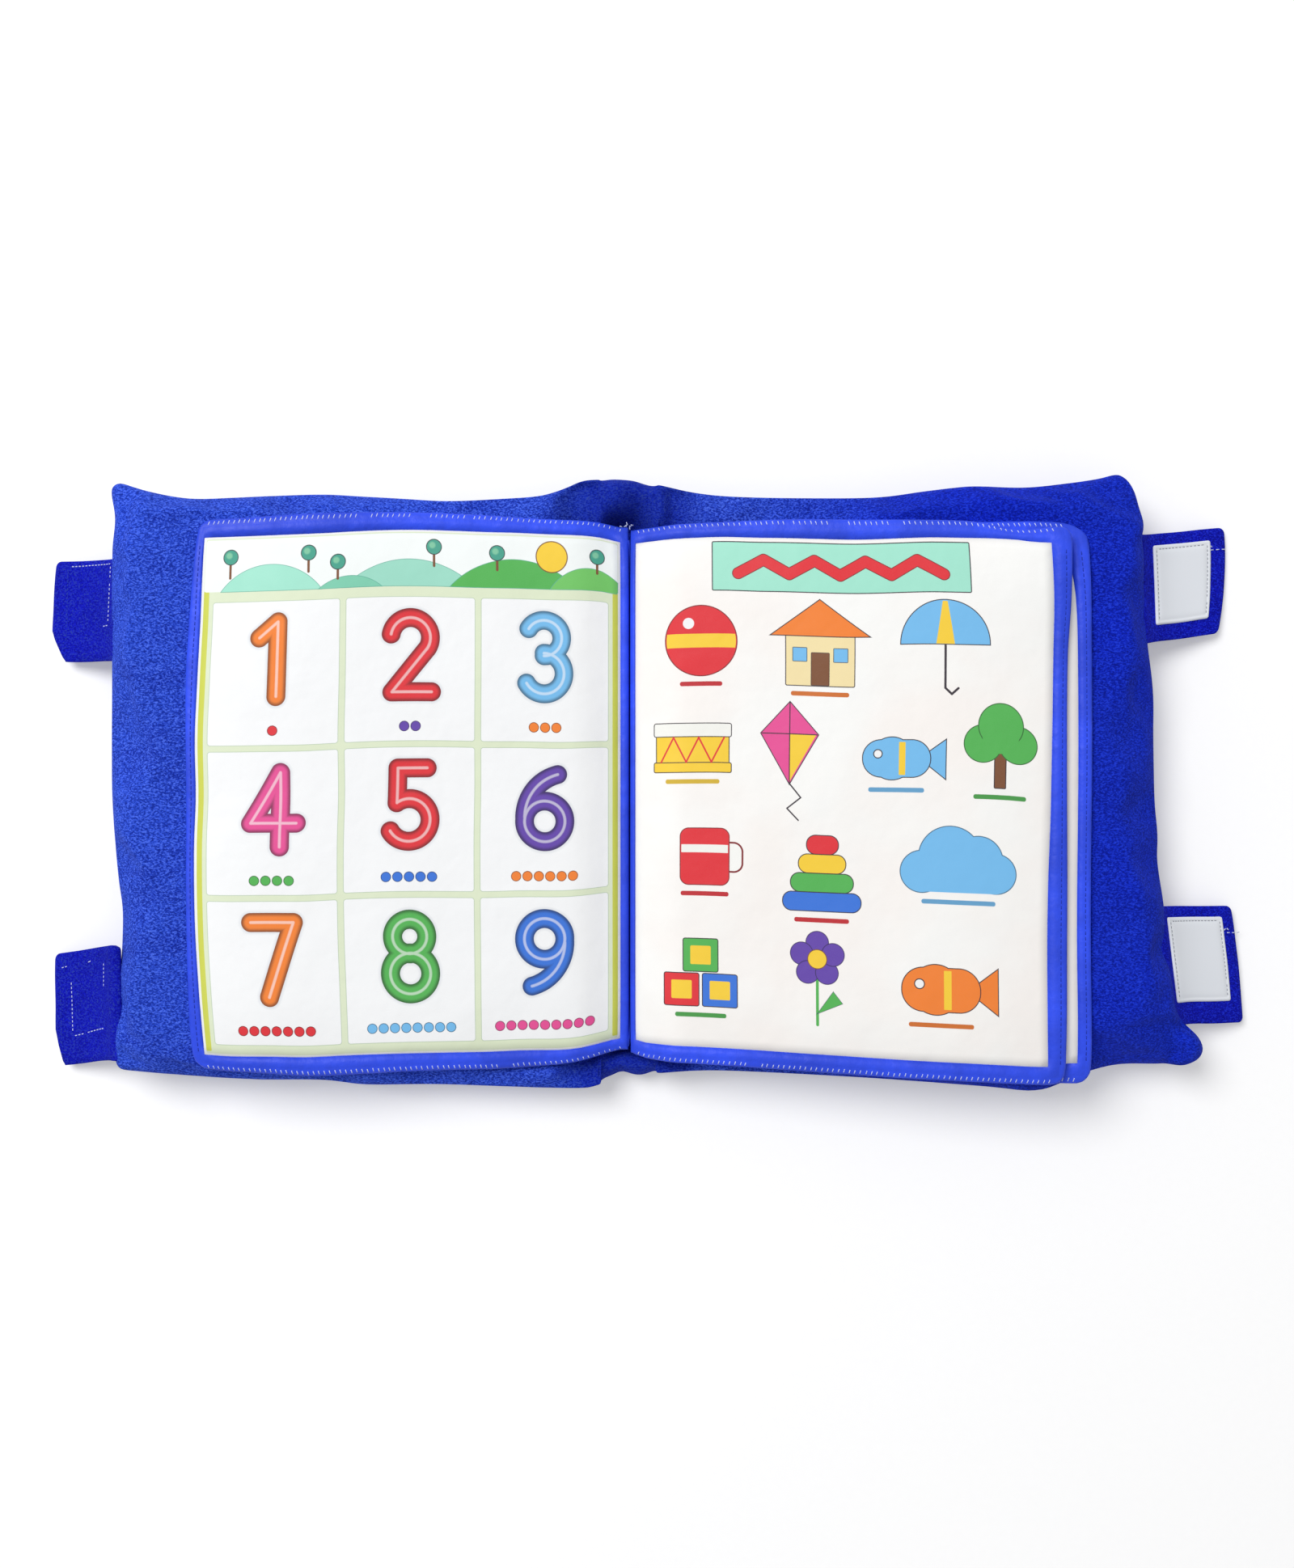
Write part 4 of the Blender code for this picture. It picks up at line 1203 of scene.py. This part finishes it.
def add_cover(cover):
    """One stuffed cover as a closed cushion, pinched at the seam round it."""
    form = padded_grid(*map(even_lines, COVER_CELLS), cover.face)
    cut = form.verts.layers.float_vector["cut"]
    creases = form.edges.layers.float.new("crease_edge")
    rim = 999.9  # the grid's rim lies at 1000 thousandths in its cut
    seam_spots, ways = [], []
    form.verts.index_update()
    half = len(form.verts) // 2
    for vertex in form.verts:
        ways.append(-1 if vertex.index < half else 1)
        if max(abs(vertex[cut].x), abs(vertex[cut].y)) > rim:
            seam_spots.append(vertex.index)
    on_seam = set(seam_spots)
    for line in form.edges:
        ends = [vertex.index for vertex in line.verts]
        if on_seam.issuperset(ends) and ways[ends[0]] == ways[ends[1]]:
            line[creases] = 0.5
    cushion = piece_from(cover.name + "_cushion", form, "royal_plush")
    stuff(cushion, seam_spots)
    for vertex, way in zip(cushion.data.vertices, ways):
        if vertex.index not in on_seam:
            vertex.co = cover.held(vertex.co, way)
    soften(cushion)
    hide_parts(cover.name + "_inner_panel", cover.name + "_outer_panel",
                cover.name + "_filling")
    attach(cushion, cover.name)


COVERS = (
    Cover("left_cover", -1, (LEFT_COVER_HEAD, LEFT_COVER_FOOT, LEFT_COVER_FORE),
          ("left_leaf",)),
    Cover("right_cover", 1, (RIGHT_COVER_HEAD, RIGHT_COVER_FOOT, RIGHT_COVER_FORE),
          ("under_leaf", "turning_leaf"), ((0.2690, -0.1185), (0.2655, -0.1365), 11 * MM)),
)


# Spine.

# Cells of its two grids, across and along.
SPINE_CELLS = (18, 80)
BINDING_CELLS = (10, 60)


def trough(share, wall):
    """X and height on the spine's round underside, or a wall's thickness inside it."""
    turn = math.pi / 2 * share
    level = math.cos(math.radians(22.5))
    x = (FOLD_REACH + 0.8 * MM - wall) * math.sin(turn)
    return x, FOLD_HEIGHT * max(0, level - math.cos(turn)) / level


def spine_face(s, t, way):
    """A spot on the spine's plush: a trough with a stuffed plug at the head."""
    rim = abs(s) ** 6
    wall = 0 if way < 0 else 3.2 * MM * (1 - rim)
    x, z = trough(s, wall)
    low, high = along(SPINE_FOOT, x), along(SPINE_HEAD, x)
    y = blend(low, high, (t + 1) / 2)
    to_head, to_foot = high - y, y - low
    if way < 0:
        lift = 1 - smooth((min(to_head, to_foot) - 0.002) / 0.016)
        z = max(z - 0.3 * MM * rim, FOLD_HEIGHT * 0.5 * lift * (1 - rim) + z * rim)
        return Vector((GUTTER + x, LEVEL + y, max(z, 0)))
    z += wall + 0.5 * MM * rim
    head = 1 - smooth((to_head - 0.012) / 0.014)
    foot = 1 - smooth((to_foot - 0.007) / 0.013)
    plug = FOLD_HEIGHT * (1.2 - 0.12 * s * s)
    dent = ((x - 5 * MM) / (6.5 * MM)) ** 2 + ((y - 0.132) / 0.008) ** 2
    plug -= 9 * MM * math.exp(-dent)
    plug -= 8 * MM * clamp(1 - to_head / 0.006) ** 2 * (1 - rim)
    plug += 1.3 * MM * ripple(x, y, 0.009, 41) * (1 - rim)
    z = blend(z, plug, head)
    round_foot = FOLD_HEIGHT * (0.85 + 0.13 * rim - 0.35 * clamp(1 - to_foot / 0.005) ** 2)
    z = blend(z, round_foot, foot)
    return Vector((GUTTER + x, LEVEL + y, z))


def binding_face(share, t, side):
    """A spot on the taped fin that holds the roots of the leaves."""
    low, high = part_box("page_binding")
    y = blend(low.y, high.y, (t + 1) / 2)
    z = blend(low.z + 1.0 * MM, high.z - 5 * MM, (share + 1) / 2)
    half = blend(3.6 * MM, 1.9 * MM, smooth((share + 1) / 2))
    half *= math.sqrt((1 - abs(share) ** 8) * (1 - abs(t) ** 40))
    half += 0.3 * MM * ripple(y, z, 0.02, 50)
    return Vector(((low.x + high.x) / 2 + side * max(half, 0.3 * MM), y, z))


def add_spine():
    """The plush strip between the covers and the taped fin that holds the leaves."""
    form = padded_grid(*map(even_lines, SPINE_CELLS), spine_face)
    gusset = piece_from("spine_plush", form, "royal_plush")
    soften(gusset)
    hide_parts("spine_gusset")
    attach(gusset, "spine")

    form = padded_grid(*map(even_lines, BINDING_CELLS), binding_face)
    binding = piece_from("leaf_binding_tape", form, "blue_binding")
    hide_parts("page_binding")
    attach(binding, "spine")

    tails = bmesh.new()
    places = []
    for i in range(7):
        start = Vector((GUTTER - 3 * MM + 0.9 * MM * i, LEVEL + 0.1238, 0.0275))
        start += Vector((0, 0.9 * MM, 0.6 * MM)) * ripple(i * 4.1, 2, 3, 90)
        way = Vector((ripple(i * 2.7, 5, 2, 91), 1.2 * ripple(i * 3.3, 8, 2, 92), 0.25))
        places.append((start, start + way.normalized() * 1.5 * MM, Vector((0, 0, 1))))
    add_threads(tails, places, 0.42 * MM)
    piece = piece_from("head_thread_tails", tails, "white_thread")
    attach(piece, "spine")


# Straps.

STRAP_STEP = 3 * MM
PATCH_STEP = 2 * MM

# The loop patch under each left strap: where it begins and ends, and its width.
LOOP_REACH = (3 * MM, 28 * MM)
LOOP_WIDTH = 34 * MM


class Strap:
    """One strap: its root in the seam, its way down to the floor and its outline."""

    def __init__(self, name, size, bow, clip, hang, lean, tuck=0):
        joint = JOINTS[name + "_fold"]
        self.name = name
        self.side = -1 if name.startswith("left") else 1
        self.cover = name.split("_")[0] + "_cover"
        self.length, self.width = size
        self.bow = bow
        self.clip = clip
        self.hang = hang
        self.lean = lean
        self.tuck = tuck
        self.root = Vector(joint["pos_m"])
        axis = Vector(joint["axis"])
        self.axis = axis if axis.y > 0 else -axis
        droop = math.asin((SEAM_LEVEL - TIP_LEVEL) / self.length)
        level = self.axis.cross(Vector((0, 0, 1))) * self.side
        self.out = level * math.cos(droop) - Vector((0, 0, 1)) * math.sin(droop)
        self.up = self.out.cross(self.axis) * self.side

    def spot(self, s, t, height):
        """The point at a reach and a place across the strap, in metres."""
        share = clamp(s / self.length)
        tip = self.bow[0] * (1 - (2 * t / self.width) ** 2) + self.bow[1] * 2 * t / self.width
        t += blend(*self.lean, share)
        s += tip * share**2 - self.tuck
        t += 0.5 * MM * ripple(s, t, 0.02, 60)
        fall = self.hang * math.sin(math.pi * share**0.7) + 0.4 * self.tuck * share**2
        wave = 0.5 * MM * ripple(s, t, 0.022, 61 + self.side) * share
        return self.root + self.out * s + self.axis * t + self.up * (height - fall + wave)


def strap_body(strap):
    """The plush of a strap from inside the seam to its tip, with its clipped corner if any."""
    sizes = bpy.context.scene.cushion_book_sizes
    half, back = strap.width / 2, -7 * MM

    def face(s, t, way):
        gap = min(s - back, strap.length - s, half - abs(t))
        thick = blend(0.7 * MM, sizes.strap_thickness / 2, smooth(gap / (2.6 * MM)))
        u, v = round_corner(s, t, (back, -half), (strap.length, half), 3 * MM)
        return strap.spot(u, v, way * thick)

    edge = (0, 0.9 * MM, 2.2 * MM, 3.5 * MM)
    across_lines = lines_between(
        (back, 0, *[strap.length - gap for gap in reversed(edge)]), STRAP_STEP)
    along_lines = lines_between(edged(-half, half, edge), STRAP_STEP)
    form = padded_grid(across_lines, along_lines, face)
    if strap.clip:
        corner = strap.spot(strap.length - strap.clip[0], -half, 0)
        run = strap.spot(strap.length, strap.clip[1] - half, 0) - corner
        normal = run.cross(strap.up)
        if normal.dot(strap.out) < 0:
            normal.negate()
        parts = form.verts[:] + form.edges[:] + form.faces[:]
        bmesh.ops.bisect_plane(form, geom=parts, plane_co=corner, plane_no=normal,
                               clear_outer=True)
        open_edges = [line for line in form.edges if line.is_boundary]
        bmesh.ops.holes_fill(form, edges=open_edges)
        bmesh.ops.recalc_face_normals(form, faces=form.faces)
    piece = piece_from(strap.name + "_plush", form, "deep_plush")
    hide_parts(strap.name)
    strap.root - strap.out * 2 * MM
    strap.root + strap.out * 3 * MM
    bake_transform(piece)


def strap_patch(strap, node, reach, width, middle, way):
    """A patch of tape with a woven selvedge, sewn on the top or the underside."""
    half = width / 2
    start, end = reach
    base = bpy.context.scene.cushion_book_sizes.strap_thickness / 2

    def face(s, t, side):
        u, v = round_corner(s, t, (start, -half), (end, half), 1.2 * MM)
        gap = min(s - start, end - s, half - abs(t))
        dent = 0.35 * MM * math.exp(-(((gap - 2 * MM) / (0.5 * MM)) ** 2))
        lift = blend(0.5 * MM, 1.1 * MM, smooth(gap / MM)) - dent if side > 0 else -0.1 * MM
        return strap.spot(u, v + middle, way * (base + lift))

    edge = (0, 0.9 * MM, 1.5 * MM, 2 * MM, 2.5 * MM)
    form = padded_grid(
        lines_between(edged(start, end, edge), PATCH_STEP),
        lines_between(edged(-half, half, edge), PATCH_STEP), face,
    )
    kind = "hook_tape" if way > 0 else "loop_tape"
    piece = piece_from(node + "_tape", form, kind)
    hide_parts(node)
    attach(piece, strap.name)


def strap_stitches(strap, suffix, rows, height, finish_name, pitch=2.1, width=0.5):
    """Rows of short stitches between points given in millimetres on the strap."""
    form = bmesh.new()
    places = []
    for index, (start, end) in enumerate(rows):
        count = max(1, round(math.dist(start, end) / pitch))
        for i in range(count):
            if ripple(i * 2.3, index * 11, 7, 70) > 0.5:
                continue
            ends = []
            for share in (0.2, 0.72):
                s, t = (blend(a, b, (i + share) / count) * MM for a, b in zip(start, end))
                ends.append(strap.spot(s, t, height * MM))
            places.append((*ends, strap.up))
    add_threads(form, places, width * MM)
    piece = piece_from(strap.name + suffix, form, finish_name)
    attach(piece, strap.name)


STRAPS = (
    Strap("left_upper_strap", (0.044, 0.050), (1 * MM, 0), (8 * MM, 15 * MM), 3.5 * MM,
          (1.2 * MM, 1 * MM)),
    Strap("left_lower_strap", (0.0418, 0.056), (0.5 * MM, 0), (5 * MM, 18 * MM), 3.5 * MM,
          (4.5 * MM, -1.5 * MM)),
    Strap("right_upper_strap", (0.051, 0.053), (2.5 * MM, 3.3 * MM), None, 4.0 * MM,
          (-2.0 * MM, 3.3 * MM)),
    Strap("right_lower_strap", (0.048, 0.0585), (1.5 * MM, 0.5 * MM), None, 4.0 * MM,
          (2.0 * MM, -4.7 * MM), 4.2 * MM),
)

# Hook patches: where each begins and ends, its width and its middle, in millimetres.
HOOK_PLACES = {
    "right_upper_strap": (8.7, 42.5, 39, 1.1), "right_lower_strap": (4.0, 40.4, 42, 2.8),
}

# Rows of stitches on the left straps, as (reach, place across) in millimetres: white ones
# in a box round the patch, and blue ones along the end.
BOX_ROWS = {
    "left_upper_strap": (((6, 22.6), (34, 22.2)), ((6, 21.5), (6.5, -6)), ((6.5, -7.5), (11, -8))),
    "left_lower_strap": (((31, 13), (30.5, -12)), ((29.5, -14), (8, -12)), ((7, 20), (7.5, 8)),
                         ((37, 20.5), (33, 21)), ((20, 21.3), (17, 22))),
}
SEAM_ROWS = {
    "left_upper_strap": (((35.5, 20), (35, -15)),),
    "left_lower_strap": (((38, 14), (37.5, -18)),),
}


# Loose thread ends on the right straps, as (reach, place across) in millimetres.
THREAD_TAILS = (((42, 15.6), (51, 15.2)), ((40.5, 16.5), (42.5, 18)), ((42.5, 18), (44, 16.5)))


def add_strap(strap):
    """One strap with its patch of tape, its stitches and its loose threads."""
    strap_body(strap)
    if strap.side < 0:
        patch = strap.name.replace("strap", "loop_patch")
        strap_patch(strap, patch, LOOP_REACH, LOOP_WIDTH, 0, -1)
        height = bpy.context.scene.cushion_book_sizes.strap_thickness / 2 / MM
        for suffix, rows, thread in (
            ("_box_stitches", BOX_ROWS, "white_thread"),
            ("_edge_stitches", SEAM_ROWS, "blue_thread"),
        ):
            strap_stitches(strap, suffix, rows[strap.name], height, thread)
        return
    patch = strap.name.replace("strap", "hook_patch")
    start, end, wide, middle = HOOK_PLACES[strap.name]
    strap_patch(strap, patch, (start * MM, end * MM), wide * MM, middle * MM, 1)
    high, low = middle + wide / 2 - 2, middle - wide / 2 + 2.5
    rows = [((x, low), (x, high)) for x in (start + 2, end - 2)]
    rows.append(((start + 3.5, high), (end - 3.5, high)))
    strap_stitches(strap, "_patch_stitches", rows, 2.3, "grey_thread", 2.0, 0.42)
    strap_stitches(strap, "_thread_tails", THREAD_TAILS, 1.6, "white_thread", 3.5, 0.5)


# Stage.

WINDOW_PLACE = (-1.1, 1.1, 2.3)
WINDOW_SIZE = 1.5
FLOOR_HALF = 6

# The camera: its height, the height of the pages, and what half the photo's 1939 rows show
# there at this many millimetres a row.
CAMERA_HEIGHT = 0.80
PAGE_LEVEL = 0.05
HALF_ROWS = 969.5
ROW_SIZE = 0.38


def add_floor():
    """The pale floor that the book lies on."""
    plane = bmesh.new()
    bmesh.ops.create_grid(plane, x_segments=1, y_segments=1, size=FLOOR_HALF)
    floor = piece_from("floor", plane, "pale_floor")


def add_light(name, place, target, size, power):
    """A round soft light that faces its target."""
    data = bpy.data.lights.new(name, "AREA")
    data.shape = "DISK"
    data.size = size
    data.energy = power
    lamp = bpy.data.objects.new(name, data)
    bpy.context.scene.collection.objects.link(lamp)
    lamp.location = place
    lamp.rotation_euler = (Vector(target) - Vector(place)).to_track_quat("-Z", "Y").to_euler()


def add_room(strength):
    """Even light from all round; the camera sees it as white."""
    world = bpy.data.worlds.new("soft_room")
    bpy.context.scene.world = world
    world.use_nodes = True
    nodes, links = world.node_tree.nodes, world.node_tree.links
    path = nodes.new("ShaderNodeLightPath")
    level = nodes.new("ShaderNodeMapRange")
    level.inputs["To Min"].default_value = strength
    level.inputs["To Max"].default_value = 1
    links.new(path.outputs["Is Camera Ray"], level.inputs["Value"])
    links.new(level.outputs["Result"], nodes["Background"].inputs["Strength"])
    nodes["Background"].inputs["Color"].default_value = (1, 1, 1, 1)


def add_camera():
    """The camera above the gutter, close enough for the leaves to dip towards it."""
    half_frame = HALF_ROWS * ROW_SIZE * MM
    data = bpy.data.cameras.new("photo_camera")
    data.sensor_width = 36
    data.lens = data.sensor_width / 2 * (CAMERA_HEIGHT - PAGE_LEVEL) / half_frame
    camera = bpy.data.objects.new("photo_camera", data)
    bpy.context.scene.collection.objects.link(camera)
    camera.location = (GUTTER + 9 * MM, LEVEL - MM, CAMERA_HEIGHT)
    bpy.context.scene.camera = camera


# The panel's values.


def length(name, description, default):
    return FloatProperty(
        name=name, description=description, default=default, min=0, precision=5,
        subtype="DISTANCE", unit="LENGTH",
    )


def colour(name, description, default):
    return FloatVectorProperty(
        name=name, description=description, default=default, min=0, max=1, size=3,
        subtype="COLOR",
    )


class CushionBookSizes(bpy.types.PropertyGroup):
    leaf_thickness: length("Leaf thickness", "Thickness of a padded leaf", 0.0029)
    stitch_pitch: length("Stitch pitch", "From one edge stitch to the next", 0.0026)
    stitch_length: length("Stitch length", "Length of an overcast stitch", 0.0014)
    seam_welt: length("Seam welt", "Thickness of the cover's seam", 0.0009)
    strap_thickness: length("Strap thickness", "Thickness of a strap", 0.0029)
    lamp_power: FloatProperty(
        name="Window light", description="Power of the soft light at the upper left",
        default=54, min=0, unit="POWER",
    )
    room_light: FloatProperty(
        name="Room light", description="Strength of the light from all round", default=0.46,
        min=0, max=2, subtype="FACTOR",
    )


class CushionBookColours(bpy.types.PropertyGroup):
    # Painted light and shade: the left plush is the pile painted lighter as lit, and the right
    # plush is the same pile painted darker as in shade.
    left_plush: colour("Left plush", "Pile of the left cover, brushed to the light",
                       (0.028, 0.090, 0.80))
    right_plush: colour("Right plush", "Pile of the right cover, brushed away from the light",
                        (0.002, 0.017, 0.62))
    # The gutter plush is painted shade at the spine.
    gutter_plush: colour("Gutter plush", "Pile at the spine", (0.001, 0.009, 0.44))
    # The tip colour is a painted highlight on the pile's tips, and it also tints the sheen.
    plush_glow: colour("Plush glow", "Tips of the pile", (0.10, 0.20, 0.95))
    strap_plush: colour("Strap plush", "Pile of the straps", (0.003, 0.006, 0.62))
    satin: colour("Satin", "Borders of the leaves", (0.028, 0.078, 0.84))
    tape: colour("Tape", "Hook and loop tape", (0.57, 0.61, 0.82))
    page: colour("Page", "Ground of the printed cotton", (0.95, 0.95, 0.93))


def print_on(leaf, painter, *rest):
    """A page's finish, painted to the size of its leaf's print."""
    return lambda name, c: painter(name, c.page, LEAVES[leaf].print_size(), *rest)


def thread(tint):
    """A thread's finish; without a tint of its own it is a deeper blue than the satin."""
    return lambda name, c: plain_cloth(
        name, tint or deeper(c.satin, 0.55), 3000, 0.6, 0.0001, 0.1)


FINISHES = {
    # Painted light and shade: the covers' plush has a lit colour and a shaded colour, with painted
    # shade in the gutter. On covers and straps, the pile's tips carry a painted highlight that is
    # bright on the left and dull on the right.
    "royal_plush": lambda name, c: plush_finish(
        name, (c.left_plush, c.right_plush, c.gutter_plush), c.plush_glow),
    "deep_plush": lambda name, c: plush_finish(
        name, (c.strap_plush,) * 3, deeper(c.plush_glow, 0.3)),
    "royal_satin": lambda name, c: satin_finish(name, c.satin),
    "white_wadding": lambda name, c: plain_cloth(name, (0.85, 0.85, 0.83), 700, 0.95, 0.001),
    "blue_binding": lambda name, c: plain_cloth(name, deeper(c.satin, 0.7), 1500),
    "loop_tape": lambda name, c: tape_finish(name, deeper(c.tape, 0.9), 900),
    "hook_tape": lambda name, c: tape_finish(name, c.tape, 1700),
    "white_thread": thread((0.62, 0.68, 0.95)),
    "grey_thread": thread((0.33, 0.35, 0.4)),
    "blue_thread": thread(None),
    "counting_page": print_on("left_leaf", counting_print),
    "picture_page": print_on("turning_leaf", picture_print, FRONT_MOTIFS),
    "second_picture_page": print_on("under_leaf", picture_print, UNDER_MOTIFS),
    "garden_page": print_on("turning_leaf", picture_print, BACK_MOTIFS, False),
    "pale_floor": lambda name, c: floor_finish(name),
}


def finish(name):
    """A finish by its name, made on its first use."""
    made = bpy.data.materials.get(name)
    return made or FINISHES[name](name, bpy.context.scene.cushion_book_colours)


class CUSHIONBOOK_OT_add_leaves(bpy.types.Operator):
    """Add the three padded leaves with their borders, prints and stitches"""

    bl_idname = "cushion_book.add_leaves"
    bl_label = "Add leaves"

    def execute(self, context):
        add_leaf(LEAVES["left_leaf"], "counting_page", "garden_page")
        add_leaf(LEAVES["under_leaf"], "second_picture_page", "garden_page")
        add_leaf(LEAVES["turning_leaf"], "picture_page", "garden_page")
        return {"FINISHED"}


class CUSHIONBOOK_OT_add_covers(bpy.types.Operator):
    """Add the two stuffed plush covers"""

    bl_idname = "cushion_book.add_covers"
    bl_label = "Add covers"

    def execute(self, context):
        for cover in COVERS:
            add_cover(cover)
        return {"FINISHED"}


class CUSHIONBOOK_OT_add_spine(bpy.types.Operator):
    """Add the spine's plush and the binding of the leaves"""

    bl_idname = "cushion_book.add_spine"
    bl_label = "Add spine"

    def execute(self, context):
        add_spine()
        return {"FINISHED"}


class CUSHIONBOOK_OT_add_straps(bpy.types.Operator):
    """Add the four straps with their tape patches and stitches"""

    bl_idname = "cushion_book.add_straps"
    bl_label = "Add straps"

    def execute(self, context):
        for strap in STRAPS:
            add_strap(strap)
        return {"FINISHED"}


class CUSHIONBOOK_OT_add_stage(bpy.types.Operator):
    """Add the floor, the light and the camera"""

    bl_idname = "cushion_book.add_stage"
    bl_label = "Add stage"

    def execute(self, context):
        sizes = context.scene.cushion_book_sizes
        context.scene.view_settings.view_transform = "Standard"
        add_floor()
        add_light("window", WINDOW_PLACE, (0, 0, 0), WINDOW_SIZE, sizes.lamp_power)
        add_room(sizes.room_light)
        add_camera()
        return {"FINISHED"}


class CUSHIONBOOK_PT_sidebar(bpy.types.Panel):
    """The cushion book's values and steps"""

    bl_idname = "CUSHIONBOOK_PT_sidebar"
    bl_label = "Cushion book"
    bl_space_type = "VIEW_3D"
    bl_region_type = "UI"
    bl_category = "Cushion book"

    def draw(self, context):
        for group in (context.scene.cushion_book_sizes, context.scene.cushion_book_colours):
            column = self.layout.column(align=True)
            for name in group.__annotations__:
                column.prop(group, name)
        for step in STEPS:
            self.layout.operator(step.bl_idname)


STEPS = (
    CUSHIONBOOK_OT_add_leaves,
    CUSHIONBOOK_OT_add_covers,
    CUSHIONBOOK_OT_add_spine,
    CUSHIONBOOK_OT_add_straps,
    CUSHIONBOOK_OT_add_stage,
)
GROUPS = (CushionBookSizes, CushionBookColours)


def register():
    for made in (*GROUPS, *STEPS, CUSHIONBOOK_PT_sidebar):
        bpy.utils.register_class(made)
    bpy.types.Scene.cushion_book_sizes = PointerProperty(type=CushionBookSizes)
    bpy.types.Scene.cushion_book_colours = PointerProperty(type=CushionBookColours)


def unregister():
    del bpy.types.Scene.cushion_book_colours
    del bpy.types.Scene.cushion_book_sizes
    for made in reversed((*GROUPS, *STEPS, CUSHIONBOOK_PT_sidebar)):
        bpy.utils.unregister_class(made)


def main():
    register()
    bpy.ops.cushion_book.add_leaves()
    bpy.ops.cushion_book.add_covers()
    bpy.ops.cushion_book.add_spine()
    bpy.ops.cushion_book.add_straps()
    bpy.ops.cushion_book.add_stage()


if __name__ == "__main__":
    main()
